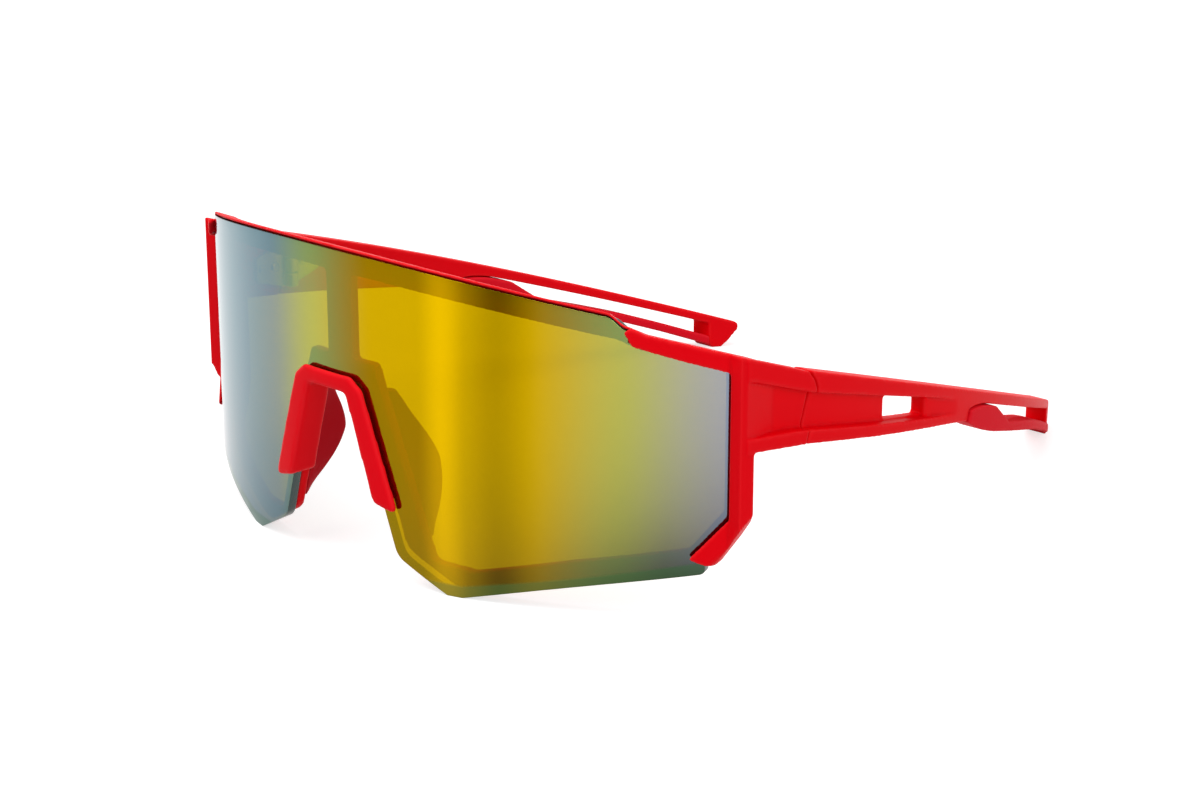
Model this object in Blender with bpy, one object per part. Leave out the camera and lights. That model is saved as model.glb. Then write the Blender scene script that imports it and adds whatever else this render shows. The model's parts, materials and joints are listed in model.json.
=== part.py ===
"""Sport sunglasses with a one-piece curved shield lens, standing open on the lens and the temple tips.

X runs across the face (the wearer's left is +X), -Y is the front and +Z is up. Lengths are in metres.
Lengths along Y count back from the front of the lens, whose ends keep their place when its curve changes.
The whole is centred on Y = 0 at the end.
Everything stands on Z = 0.
"""

import math

import bmesh
import bpy
from mathutils import Matrix, Vector

MM = 0.001

# Clearances and cutting
GAP = 0.3 * MM
OVERRUN = 1.5 * MM
CUT_REACH = 5.0 * MM
CUT_DEPTH = 45.0 * MM
CURVE_STEPS = 64
BROW_STEPS = 16
RIM_STEPS = 8
JOINT_STEPS = 8
ARC_STEPS = 5
ROUND_STEPS = 24
PAD_STEPS = 36
MERGE_SHARE = 0.25
SMOOTH_ANGLE = math.radians(30)

# Main sizes: insets count inwards from the half width, drops count down from the lens height
FRAME_HALF_WIDTH = 71.8 * MM
LENS_HEIGHT = 59.1 * MM

# Shield lens: an upright part of a cylinder
LENS_RADIUS = 91.4 * MM
LENS_THICKNESS = 2.0 * MM
LENS_END_Y = 31.0 * MM
LENS_INSET = 3.2 * MM
BROW_INSET = 20.1 * MM
BROW_FALL = 5.6 * MM
STEP_RUN = 3.3 * MM
STEP_FALL = 2.4 * MM
BROW_SLANT = math.tan(math.radians(18.8))
SHOULDER_INSET = 16.5 * MM
SHOULDER_DROP = 10.0 * MM
SIDE_TOP_DROP = 14.2 * MM
SIDE_LOW_Z = 16.7 * MM
CORNER_INSET = 6.9 * MM
CORNER_Z = 8.0 * MM
CORNER_RISE = 3.2 * MM
FOOT_ARCH = 0.6 * MM
FOOT_IN_X = 25.4 * MM
FOOT_OUT_X = 28.3 * MM
NOSE_FOOT_Z = 5.3 * MM
NOSE_FOOT_ROUND = 4.0 * MM
CORNER_ROUND = 0.8 * MM

# Nose clip: an upside-down V over the lens with a web through the lens notch
CLIP_PROUD = 1.5 * MM
CLIP_TOP_DROP = 22.1 * MM
CLIP_BAR = 3.2 * MM
CLIP_FOOT_Z = 13.3 * MM
CLIP_FOOT_SLANT = 1.4 * MM
CLIP_TOP_HALF = 6.2 * MM
CLIP_SHOULDER_HALF = 8.9 * MM
CLIP_SHOULDER_DROP = 2.2 * MM
CLIP_FOOT_HALF = 16.5 * MM
CLIP_INNER_TOP_HALF = 4.9 * MM
CLIP_INNER_FOOT_HALF = 11.5 * MM
CLIP_WEB = 0.8 * MM
WEB_PAST = 0.4 * MM
CLIP_ROUND = 0.8 * MM
CLIP_REACH = 30.0 * MM

# Front frame behind the lens
FRAME_THICKNESS = 1.9 * MM
BROW_LIP = 0.5 * MM
LIP_END_INSET = 15.6 * MM
ARM_JOIN_INSET = 14.6 * MM
BROW_BAND = 4.7 * MM
BAR_HALF = 3.3 * MM
BRIDGE_HALF = 8.4 * MM
BRIDGE_TOP_DROP = 20.1 * MM
RIM_LIFT = 0.9 * MM
RIM_HEIGHT = 4.3 * MM
NOSE_RIM_MID = 4.8 * MM
NOSE_RIM_LOW = 5.1 * MM
NOSE_RIM_MID_Z = 20.0 * MM
NOSE_RIM_LOW_Z = 4.9 * MM
EYE_SIDE_INSET = 6.4 * MM
EYE_SIDE_TOP_DROP = 14.7 * MM
EYE_SIDE_LOW_Z = 18.6 * MM
EYE_CORNER_INSET = 10.6 * MM
EYE_ROUND = 1.6 * MM
BAR_ROUND = 0.8 * MM

# Brackets that wrap the outer corners of the lens
BRACKET_PROUD = 1.2 * MM
ARM_END_INSET = 16.8 * MM
ARM_TOP_DROP = 7.4 * MM
ARM_HEIGHT = 3.1 * MM
ARM_TIP_RUN = 0.5 * MM
ARM_TIP_DROP = 0.7 * MM
ARM_SLANT_RUN = 1.2 * MM
ARM_ROUND = 0.4 * MM
POST_TOP_DROP = 12.2 * MM
POST_WIDTH = 3.4 * MM
POST_INNER_TOP_DROP = 15.0 * MM
POST_INNER_LOW_Z = 18.3 * MM
POST_LOW_Z = 17.6 * MM
POST_FRONT_INSET = 0.5 * MM
POST_SIDE_Y = 28.6 * MM
POST_SIDE_END_Y = 31.5 * MM
POST_BACK_INSET = 2.8 * MM
POST_BACK_Y = 34.3 * MM
PLATE_STEP = 2.5 * MM
ARM_FOOT_OUT_INSET = 5.7 * MM
ARM_FOOT_OUT_Z = 9.6 * MM
ARM_FOOT_IN_INSET = 8.4 * MM
ARM_FOOT_IN_Z = 11.0 * MM
ARM_FOOT_ROUND = 0.6 * MM
FOOT_CUT_Y = 28.6 * MM
FOOT_CUT_REACH = 7.0 * MM
FOOT_CUT_RISE = math.tan(math.radians(29))

# Temples: bent along one arc seen from above, falling to the ground
TEMPLE_ARC = 175.0 * MM
TEMPLE_OUTSET = 1.7 * MM
TEMPLE_WIDEST_Y = 62.0 * MM
TEMPLE_THICKNESS = 4.5 * MM
TEMPLE_TOP_DROP = 16.9 * MM
TEMPLE_TOP_Y = 44.7 * MM
TEMPLE_TIP_Y = 157.6 * MM
TEMPLE_END_Z = 5.32 * MM
TEMPLE_BEND = 2700.0 * MM
TEMPLE_FRONT_HEIGHT = 13.2 * MM
TEMPLE_LOWER_SHARES = ((0.0, 1.0), (0.175, 0.79), (0.364, 0.54), (0.43, 0.465))
TEMPLE_STEPS = 40
GRIP_STEPS = 20
LUG_STEPS = 4

# Outer channel in the lugs and the temples
CHANNEL_DEPTH = 2.2 * MM
CHANNEL_START_Y = 28.8 * MM
CHANNEL_FULL_Y = 38.0 * MM
CHANNEL_TAIL_Y = 89.0 * MM
CHANNEL_TAIL_DEPTH = 1.2 * MM
RAIL_TOP_FRONT = 3.85 * MM
RAIL_TOP_BACK = 1.95 * MM
RAIL_LOW_FRONT = 2.5 * MM
RAIL_LOW_BACK = 1.7 * MM
WINDOW_Y = 67.2 * MM
WINDOW_LENGTH = 11.8 * MM
WINDOW_EDGE = 0.3 * MM
WINDOW_ROUND = 0.4 * MM

# Lugs and the joint line between lug and temple
JOINT_Y = 46.3 * MM
JOINT_DROP = 23.5 * MM
JOINT_LEAN = math.tan(math.radians(16.7))
JOINT_BOW_DROP = 22.1 * MM
JOINT_BOW = 7.2 * MM
LUG_INNER_INSET = 3.8 * MM
LUG_BACK_OUTSET = 0.95 * MM
LUG_START_Y = 30.0 * MM
LUG_START_INSET = 1.6 * MM
LUG_FLARE_Y = 36.0 * MM
SIDE_TOP_Y = 28.0 * MM
SIDE_TOP_START_DROP = 11.2 * MM
SIDE_FALL = math.tan(math.radians(18.8))
LUG_LOW_FRONT_DROP = 28.6 * MM
LUG_LOW_BACK_DROP = 30.1 * MM

# Ear grips under the rear of the temples
GRIP_START_Y = 93.4 * MM
GRIP_SEAM_RUN = 0.7 * MM
GRIP_TOP_Y = 106.2 * MM
GRIP_SLANT_Y = 6.9 * MM
GRIP_SWELL = 7.6 * MM
GRIP_PROUD = 0.4 * MM
GRIP_HEIGHT_SHARES = (
    (0.0, 0.82), (0.045, 0.915), (0.1, 0.975), (0.175, 0.99), (0.334, 0.933),
    (0.49, 0.87), (0.61, 0.84), (0.75, 0.86), (0.89, 0.91), (1.0, 0.91)
)
GRIP_END_Y = 150.6 * MM
STRIP_TOP_FRONT = 2.35 * MM
STRIP_TOP_BACK = 1.95 * MM
STRIP_ROOT = 1.7 * MM
STRIP_ROOT_RUN = 9.0 * MM
STRIP_LOW = 1.85 * MM
FOOT_Y = 151.5 * MM
TIP_FOOT = 1.9 * MM
TIP_LOW_Y = 154.9 * MM
TIP_LOW_Z = 1.5 * MM
TIP_ROUND = 1.3 * MM

# Nose pads behind the frame
PAD_LOW_Z = 8.0 * MM
PAD_HIGH_DROP = 25.1 * MM
PAD_REACH = 8.4 * MM
PAD_FLARE = 2.0 * MM
PAD_THICKNESS = 2.2 * MM
PAD_INSET = 0.5 * MM
PAD_ROUND = 0.4 * MM
PAD_LEAN_SHARE = 0.5
PAD_REACH_SHARES = (0.24, 0.37, 0.58, 0.76, 0.89, 0.97, 1.0, 0.92, 0.8, 0.65, 0.5, 0.38, 0.26)

# Barrel hinges: two leaves, four rivets and a screw on each side
HINGE_INSET = 5.5 * MM
HINGE_Y = 46.4 * MM
HINGE_LOW_DROP = 28.1 * MM
BARREL_RADIUS = 1.4 * MM
BARREL_HEIGHT = 2.8 * MM
BARREL_COUNT = 3
TAB_SHARE = 0.9
LEAF_THICKNESS = 0.9 * MM
LEAF_LENGTH = 8.6 * MM
LEAF_TAPER = 2.0 * MM
LEAF_ROUND = 0.8 * MM
PIN_FIT = 0.1 * MM
SCREW_RADIUS = 0.6 * MM
SCREW_HEAD_RADIUS = 1.25 * MM
SCREW_HEAD_HEIGHT = 0.6 * MM
SCREW_SLOT_WIDTH = 0.35 * MM
SCREW_SLOT_DEPTH = 0.3 * MM
RIVET_RADIUS = 0.5 * MM
RIVET_HEAD_RADIUS = 1.0 * MM
RIVET_HEAD_HEIGHT = 0.45 * MM
RIVET_DEPTH = 1.2 * MM
RIVET_Y_SHARES = (0.45, 0.82)

# Places across, from the half width
LENS_HALF_WIDTH = FRAME_HALF_WIDTH - LENS_INSET
BROW_HALF = FRAME_HALF_WIDTH - BROW_INSET
SHOULDER_X = FRAME_HALF_WIDTH - SHOULDER_INSET
CORNER_X = FRAME_HALF_WIDTH - CORNER_INSET
LIP_END_X = FRAME_HALF_WIDTH - LIP_END_INSET
ARM_JOIN_X = FRAME_HALF_WIDTH - ARM_JOIN_INSET
EYE_SIDE_X = FRAME_HALF_WIDTH - EYE_SIDE_INSET
EYE_CORNER_X = FRAME_HALF_WIDTH - EYE_CORNER_INSET
ARM_END_X = FRAME_HALF_WIDTH - ARM_END_INSET
POST_INNER_X = FRAME_HALF_WIDTH - POST_WIDTH
POST_FRONT_X = FRAME_HALF_WIDTH - POST_FRONT_INSET
POST_BACK_X = FRAME_HALF_WIDTH - POST_BACK_INSET
ARM_FOOT_OUT_X = FRAME_HALF_WIDTH - ARM_FOOT_OUT_INSET
ARM_FOOT_IN_X = FRAME_HALF_WIDTH - ARM_FOOT_IN_INSET
LUG_INNER_X = FRAME_HALF_WIDTH - LUG_INNER_INSET
LUG_START_X = FRAME_HALF_WIDTH - LUG_START_INSET
HINGE_X = FRAME_HALF_WIDTH - HINGE_INSET
TEMPLE_WIDEST_X = FRAME_HALF_WIDTH + TEMPLE_OUTSET
LUG_BACK_X = FRAME_HALF_WIDTH + LUG_BACK_OUTSET

# Heights, from the lens height
SHOULDER_Z = LENS_HEIGHT - SHOULDER_DROP
SIDE_TOP_Z = LENS_HEIGHT - SIDE_TOP_DROP
CLIP_TOP_Z = LENS_HEIGHT - CLIP_TOP_DROP
BRIDGE_TOP_Z = LENS_HEIGHT - BRIDGE_TOP_DROP
EYE_SIDE_TOP_Z = LENS_HEIGHT - EYE_SIDE_TOP_DROP
ARM_TOP_Z = LENS_HEIGHT - ARM_TOP_DROP
POST_TOP_Z = LENS_HEIGHT - POST_TOP_DROP
POST_INNER_TOP_Z = LENS_HEIGHT - POST_INNER_TOP_DROP
TEMPLE_TOP_Z = LENS_HEIGHT - TEMPLE_TOP_DROP
JOINT_Z = LENS_HEIGHT - JOINT_DROP
JOINT_BOW_Z = LENS_HEIGHT - JOINT_BOW_DROP
SIDE_TOP_START_Z = LENS_HEIGHT - SIDE_TOP_START_DROP
LUG_LOW_FRONT_Z = LENS_HEIGHT - LUG_LOW_FRONT_DROP
LUG_LOW_BACK_Z = LENS_HEIGHT - LUG_LOW_BACK_DROP
PAD_HIGH_Z = LENS_HEIGHT - PAD_HIGH_DROP
HINGE_LOW_Z = LENS_HEIGHT - HINGE_LOW_DROP

SIDES = {"left": 1, "right": -1}


def clear_scene():
    for item in list(bpy.data.objects):
        bpy.data.objects.remove(item, do_unlink=True)


def make_material(name, colour, roughness, metallic=0.0):
    made = bpy.data.materials.new(name)
    made.use_nodes = True
    made.diffuse_color = colour
    shader = made.node_tree.nodes["Principled BSDF"]
    shader.inputs["Base Color"].default_value = colour
    shader.inputs["Roughness"].default_value = roughness
    shader.inputs["Metallic"].default_value = metallic
    return made


def new_object(shape, name="shape"):
    """Turns a bmesh into an object with its faces pointing out."""
    bmesh.ops.recalc_face_normals(shape, faces=shape.faces)
    data = bpy.data.meshes.new(name)
    shape.to_mesh(data)
    shape.free()
    made = bpy.data.objects.new(name, data)
    bpy.context.scene.collection.objects.link(made)
    return made


def finish(made, name, material, origin=None):
    """Names a piece, gives it its material and sets its origin."""
    made.name = name
    made.data.name = name
    made.data.materials.clear()
    made.data.materials.append(material)
    made.data.shade_smooth()
    made.data.set_sharp_from_angle(angle=SMOOTH_ANGLE)
    if origin:
        made.data.transform(Matrix.Translation(-Vector(origin)))
        made.location = origin
    return made


def combine(body, tool, operation):
    """Adds, cuts or intersects body with tool and removes the tool."""
    modifier = body.modifiers.new(operation, "BOOLEAN")
    modifier.operation = operation
    modifier.solver = "EXACT"
    modifier.object = tool
    graph = bpy.context.evaluated_depsgraph_get()
    result = bpy.data.meshes.new_from_object(body.evaluated_get(graph))
    body.modifiers.clear()
    body.data = result
    bpy.data.objects.remove(tool, do_unlink=True)
    return body


def place(axis, across, up, along):
    """A point whose outline lies square to axis."""
    return {
        "X": (along, across, up),
        "Y": (across, along, up),
        "Z": (across, up, along),
    }[axis]


def prism(outline, axis, low, high):
    shape = bmesh.new()
    base = shape.faces.new([shape.verts.new(place(axis, a, b, low)) for a, b in outline])
    grown = bmesh.ops.extrude_face_region(shape, geom=[base])
    moved = [item for item in grown["geom"] if isinstance(item, bmesh.types.BMVert)]
    bmesh.ops.translate(shape, vec=place(axis, 0, 0, high - low), verts=moved)
    return new_object(shape)


def lofted(rings):
    """A closed body through rings of points, with flat ends."""
    shape = bmesh.new()
    rows = [[shape.verts.new(point) for point in ring] for ring in rings]
    for row, after in zip(rows, rows[1:]):
        for index in range(len(row)):
            shape.faces.new((row[index - 1], row[index], after[index], after[index - 1]))
    shape.faces.new(rows[0])
    shape.faces.new(rows[-1])
    return new_object(shape)


def turned(profile, origin, axis):
    """A turned body: profile holds (radius, distance along the axis)."""
    rings = []
    for radius, along in profile:
        ring = []
        for step in range(ROUND_STEPS):
            turn = math.tau * (step + 0.5) / ROUND_STEPS
            across, up = radius * math.cos(turn), radius * math.sin(turn)
            ring.append(Vector(origin) + Vector(place(axis, across, up, along)))
        rings.append(ring)
    return lofted(rings)


def rounded(corners):
    """Outline points from corners that hold (across, up, radius)."""
    points = []
    for index, (across, up, radius) in enumerate(corners):
        corner = Vector((across, up))
        if not radius:
            points.append((across, up))
            continue
        before = (Vector(corners[index - 1][:2]) - corner).normalized()
        after = (Vector(corners[(index + 1) % len(corners)][:2]) - corner).normalized()
        half = before.angle(after) / 2
        centre = corner + (before + after).normalized() * radius / math.sin(half)
        start = corner + before * radius / math.tan(half) - centre
        end = corner + after * radius / math.tan(half) - centre
        for step in range(ARC_STEPS + 1):
            spoke = start.lerp(end, step / ARC_STEPS).normalized() * radius
            points.append(tuple(centre + spoke))
    return points


def widened(outline, distance):
    """The outline moved outwards by distance, with mitred corners."""
    area = sum(
        a[0] * b[1] - b[0] * a[1] for a, b in zip(outline, outline[1:] + outline[:1])
    )
    turn = math.copysign(1.0, area)
    moved = []
    for index, point in enumerate(outline):
        here = Vector(point)
        first = (here - Vector(outline[index - 1])).normalized()
        second = (Vector(outline[(index + 1) % len(outline)]) - here).normalized()
        normal_a = Vector((first.y, -first.x)) * turn
        normal_b = Vector((second.y, -second.x)) * turn
        mitre = (normal_a + normal_b) / (1.0 + normal_a.dot(normal_b))
        moved.append(tuple(here + mitre * distance))
    return moved


def mirrored(half):
    """A whole outline from its half at X > 0, listed from the top middle to the bottom middle."""
    other = [(-across, up) for across, up in reversed(half) if across > 0]
    return half + other


def flipped(outline, side):
    return [(across * side, up) for across, up in outline]


def along_line(first, second, across):
    """Height at across of the line through two (across, up) points."""
    share = (across - first[0]) / (second[0] - first[0])
    return first[1] + (second[1] - first[1]) * share


def spread(start, end, steps):
    return [start + (end - start) * k / steps for k in range(steps + 1)]


# Places on the curved front

LENS_BACK = LENS_THICKNESS + GAP
FRAME_BACK = LENS_BACK + FRAME_THICKNESS
CLIP_INNER_TOP_Z = CLIP_TOP_Z - CLIP_BAR
CLIP_SLOPE = (CLIP_INNER_FOOT_HALF - CLIP_INNER_TOP_HALF) / (CLIP_INNER_TOP_Z - CLIP_FOOT_Z)
LENS_HALF_ANGLE = math.asin(LENS_HALF_WIDTH / LENS_RADIUS)
FRONT_Y = LENS_END_Y - LENS_RADIUS * (1 - math.cos(LENS_HALF_ANGLE))
NEAR_Y = FRONT_Y - CUT_REACH
FAR_Y = LENS_END_Y + CUT_DEPTH


def wrap_y(across, depth):
    """Y of the surface that lies depth behind the lens front."""
    return FRONT_Y + LENS_RADIUS - math.sqrt((LENS_RADIUS - depth) ** 2 - across**2)


def wrap_point(angle, depth):
    radius = LENS_RADIUS - depth
    return (radius * math.sin(angle), FRONT_Y + LENS_RADIUS - radius * math.cos(angle))


def wrap_line(start, end, depth):
    """Plan points on one surface, always at the same turns of the curve."""
    step = 2 * LENS_HALF_ANGLE / CURVE_STEPS
    near = step * MERGE_SHARE
    inner = [k * step for k in range(-CURVE_STEPS, CURVE_STEPS + 1)]
    angles = [start] + [a for a in inner if start + near < a < end - near] + [end]
    return [wrap_point(angle, depth) for angle in angles]


def wrap_band(half_angle, front, back, low, high):
    """The curved plate between two depths, from one half angle to the other."""
    outline = wrap_line(-half_angle, half_angle, front)
    outline += reversed(wrap_line(-half_angle, half_angle, back))
    return prism(outline, "Z", low, high)


def brow_z(across):
    return LENS_HEIGHT - BROW_FALL * (across / BROW_HALF) ** 2


def brow_half(lift):
    """The top edge from the middle to the end of the step, raised by lift."""
    stops = spread(0, BROW_HALF, BROW_STEPS)[:-1]
    line = [(across, brow_z(across) + lift) for across in stops]
    for k in range(2 * ARC_STEPS + 1):
        share = k / (2 * ARC_STEPS)
        fall = STEP_FALL * (1 - math.cos(math.pi * share)) / 2
        line.append((BROW_HALF + STEP_RUN * share, brow_z(BROW_HALF) - fall + lift))
    return line


def cutting_ring(front_x, front_y, back_x, back_y, up, near, far):
    """A cross-section of a cutter, from its sloping floor up past the lens."""
    high = LENS_HEIGHT + CUT_REACH
    return [
        (front_x, front_y, up - near * BROW_SLANT),
        (back_x, back_y, up - far * BROW_SLANT),
        (back_x, back_y, high),
        (front_x, front_y, high),
    ]


def brow_rings(lift):
    """Cross-sections over the brow whose floor falls from the lens front to the rear."""
    half = brow_half(lift)
    line = [(-across, up) for across, up in half[:0:-1]] + half
    near, far = -BRACKET_PROUD - GAP, FRAME_BACK + GAP
    plans = []
    for across, up in line:
        angle = math.asin(across / LENS_RADIUS)
        plans.append((*wrap_point(angle, near), *wrap_point(angle, far), up))
    for side in SIDES.values():
        across = side * LIP_END_X
        end = (across, wrap_y(across, near), across, wrap_y(across, far), half[-1][1])
        plans.insert(len(plans) if side > 0 else 0, end)
    return [cutting_ring(*plan, near, far) for plan in plans]


def bottom_z(across):
    """Height of the bottom edge of the lens between its foot and its outer corner."""
    share = (across - FOOT_OUT_X) / (CORNER_X - FOOT_OUT_X)
    return CORNER_Z * share + FOOT_ARCH * math.sin(math.pi * share)


def foot_edge(lift):
    """The bottom edge from the outer corner towards the foot, raised by lift."""
    line = []
    for k in range(1, ARC_STEPS + 1):
        share = k / (ARC_STEPS + 1)
        across = CORNER_X + (FOOT_OUT_X - CORNER_X) * share
        line.append((across, bottom_z(across) + lift, 0))
    return line


def nose_half(up):
    """Half the clear width between the legs of the clip at a height."""
    return CLIP_INNER_TOP_HALF + (CLIP_INNER_TOP_Z - up) * CLIP_SLOPE


def notch_half(up):
    """Half the width of the notch in the lens and the frame at a height."""
    return nose_half(up) + CLIP_WEB + GAP


def lens_outline():
    notch_top = CLIP_INNER_TOP_Z + CLIP_WEB + GAP
    wide = LENS_HALF_WIDTH + OVERRUN
    shoulder = (SHOULDER_X, SHOULDER_Z)
    heel = (CORNER_X, CORNER_Z + CORNER_RISE)
    corners = [
        (0, LENS_HEIGHT + OVERRUN, 0),
        (SHOULDER_X, LENS_HEIGHT + OVERRUN, 0),
        (*shoulder, 0),
        (wide, along_line(shoulder, (LENS_HALF_WIDTH, SIDE_TOP_Z), wide), 0),
        (wide, along_line(heel, (LENS_HALF_WIDTH, SIDE_LOW_Z), wide), 0),
        (*heel, 0),
        (CORNER_X, CORNER_Z, CORNER_ROUND),
    ]
    corners += foot_edge(0)
    corners += [
        (FOOT_OUT_X, 0, 0),
        (FOOT_IN_X, 0, 0),
        (notch_half(NOSE_FOOT_Z), NOSE_FOOT_Z, NOSE_FOOT_ROUND),
        (notch_half(notch_top), notch_top, CLIP_ROUND),
        (0, notch_top, 0),
    ]
    return mirrored(rounded(corners))


def make_lens(material):
    low, high = -OVERRUN, LENS_HEIGHT + CUT_REACH
    lens = wrap_band(LENS_HALF_ANGLE, 0, LENS_THICKNESS, low, high)
    outline = prism(lens_outline(), "Y", NEAR_Y, FAR_Y)
    combine(lens, outline, "INTERSECT")
    combine(lens, lofted(brow_rings(0)), "DIFFERENCE")
    return finish(lens, "shield_lens", material)


def lens_slot():
    """The room that the frame leaves for the lens."""
    low, high = -OVERRUN, LENS_HEIGHT + CUT_REACH
    wider = LENS_HALF_ANGLE + GAP / LENS_RADIUS
    slot = wrap_band(wider, -GAP, LENS_BACK, low, high)
    outline = prism(widened(lens_outline(), GAP), "Y", NEAR_Y, FAR_Y)
    combine(slot, outline, "INTERSECT")
    return combine(slot, lofted(brow_rings(GAP)), "DIFFERENCE")


def eye_outline():
    """One eye opening of the frame at X > 0."""
    corners = [(BAR_HALF, brow_z(BAR_HALF) - BROW_BAND, BAR_ROUND)]
    for across in spread(BAR_HALF, BROW_HALF, RIM_STEPS)[1:]:
        corners.append((across, brow_z(across) - BROW_BAND, 0))
    middle = (EYE_CORNER_X + FOOT_OUT_X) / 2
    corners += [
        (ARM_END_X, ARM_TOP_Z - BROW_BAND, 0),
        (EYE_SIDE_X, EYE_SIDE_TOP_Z, EYE_ROUND),
        (EYE_SIDE_X, EYE_SIDE_LOW_Z, EYE_ROUND),
        (EYE_CORNER_X, bottom_z(EYE_CORNER_X) + RIM_HEIGHT, EYE_ROUND),
        (middle, bottom_z(middle) + RIM_HEIGHT, 0),
        (FOOT_OUT_X, RIM_HEIGHT, 0),
        (notch_half(NOSE_RIM_LOW_Z) + NOSE_RIM_LOW, NOSE_RIM_LOW_Z, EYE_ROUND),
        (notch_half(NOSE_RIM_MID_Z) + NOSE_RIM_MID, NOSE_RIM_MID_Z, 0),
        (BRIDGE_HALF, BRIDGE_TOP_Z, BAR_ROUND),
        (BAR_HALF, BRIDGE_TOP_Z, BAR_ROUND),
    ]
    return rounded(corners)


def bracket_outline():
    """The room in front of the lens, between the two brackets, as seen from the front."""
    high, low = LENS_HEIGHT + CUT_REACH, -CUT_REACH
    arm = rounded([
        (FRAME_HALF_WIDTH, POST_TOP_Z, 0),
        (ARM_END_X + ARM_TIP_RUN, ARM_TOP_Z, 0),
        (ARM_END_X, ARM_TOP_Z - ARM_TIP_DROP, ARM_ROUND),
        (ARM_END_X + ARM_SLANT_RUN, ARM_TOP_Z - ARM_HEIGHT, ARM_ROUND),
        (POST_INNER_X, POST_INNER_TOP_Z, 0),
    ])[1:-1]
    foot = rounded([
        (POST_INNER_X, POST_INNER_LOW_Z, 0),
        (ARM_FOOT_IN_X, ARM_FOOT_IN_Z, ARM_FOOT_ROUND),
        (ARM_FOOT_OUT_X, ARM_FOOT_OUT_Z, ARM_FOOT_ROUND),
        (FRAME_HALF_WIDTH, POST_LOW_Z, 0),
    ])[1:-1]
    half = [(0, high), (arm[0][0], high)] + arm
    half += [(POST_INNER_X, POST_INNER_TOP_Z), (POST_INNER_X, POST_INNER_LOW_Z)]
    half += foot + [(foot[-1][0], low), (0, low)]
    return mirrored(half)


def frame_outline():
    """The outer edge of the frame and its brackets, seen from the front."""
    notch_top = CLIP_INNER_TOP_Z + CLIP_WEB + GAP
    wide = FRAME_HALF_WIDTH + OVERRUN
    low_line = ((ARM_FOOT_OUT_X, ARM_FOOT_OUT_Z), (FRAME_HALF_WIDTH, POST_LOW_Z))
    corners = [
        (0, LENS_HEIGHT + OVERRUN, 0),
        (ARM_END_X, LENS_HEIGHT + OVERRUN, 0),
        (ARM_END_X, ARM_TOP_Z, 0),
        (wide, ARM_TOP_Z, 0),
        (wide, along_line(*low_line, wide), 0),
        (ARM_FOOT_OUT_X, ARM_FOOT_OUT_Z, 0),
        (CORNER_X - RIM_LIFT, CORNER_Z + RIM_LIFT, 0),
    ]
    corners += foot_edge(RIM_LIFT)
    corners += [
        (FOOT_OUT_X, RIM_LIFT, 0),
        (FOOT_IN_X, RIM_LIFT, 0),
        (notch_half(NOSE_FOOT_Z), NOSE_FOOT_Z + RIM_LIFT, NOSE_FOOT_ROUND),
        (notch_half(notch_top), notch_top, CLIP_ROUND),
        (0, notch_top, 0),
    ]
    return mirrored(rounded(corners))


def frame_plan():
    """The frame and its brackets seen from above, before the lens slot is cut."""
    corner_x = POST_INNER_X
    front_angle = math.asin(corner_x / (LENS_RADIUS + BRACKET_PROUD))
    back_angle = math.asin((POST_BACK_X - PLATE_STEP) / (LENS_RADIUS - FRAME_BACK))
    front = wrap_line(-front_angle, front_angle, -BRACKET_PROUD)
    back = wrap_line(-back_angle, back_angle, FRAME_BACK)
    side = [
        (POST_FRONT_X, POST_SIDE_Y),
        (FRAME_HALF_WIDTH, POST_SIDE_END_Y),
        (POST_BACK_X, POST_BACK_Y),
    ]
    return front + side + back[::-1] + flipped(side, -1)[::-1]


def side_top(along):
    """Height of the top of the brackets and the lugs, which falls to the rear in one plane."""
    return SIDE_TOP_START_Z - (along - SIDE_TOP_Y) * SIDE_FALL


def lug_low(along):
    share = (along - LUG_START_Y) / (JOINT_Y - LUG_START_Y)
    return LUG_LOW_FRONT_Z + (LUG_LOW_BACK_Z - LUG_LOW_FRONT_Z) * share


def joint_y(up):
    """Y of the joint line between lug and temple: it leans back and bows forward near its top."""
    bow = max(up - JOINT_BOW_Z, 0.0) ** 2 / JOINT_BOW
    return JOINT_Y + (up - JOINT_Z) * JOINT_LEAN - bow


def joint_line(top, low):
    """The joint line from its top to its low end, in Y and Z."""
    return [(joint_y(up), up) for up in spread(top, low, JOINT_STEPS)]


def lug_outer_x(along):
    share = (along - LUG_START_Y) / (JOINT_Y - LUG_START_Y)
    return FRAME_HALF_WIDTH + (LUG_BACK_X - FRAME_HALF_WIDTH) * share


def make_lug(side):
    past = JOINT_Y + OVERRUN
    plan = [
        (LUG_START_X, LUG_START_Y),
        (FRAME_HALF_WIDTH, LUG_START_Y),
        (lug_outer_x(past), past),
        (LUG_INNER_X, past),
        (LUG_INNER_X, LUG_FLARE_Y),
    ]
    lug = prism(flipped(plan, side), "Z", 0, LENS_HEIGHT)
    start = LUG_START_Y - OVERRUN
    face = [(start, lug_low(start)), (start, side_top(start))]
    face += joint_line(side_top(joint_y(side_top(JOINT_Y))), LUG_LOW_BACK_Z)
    low, high = sorted((side * POST_INNER_X / 2, side * (LUG_BACK_X + OVERRUN)))
    return combine(lug, prism(face, "X", low, high), "INTERSECT")


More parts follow.
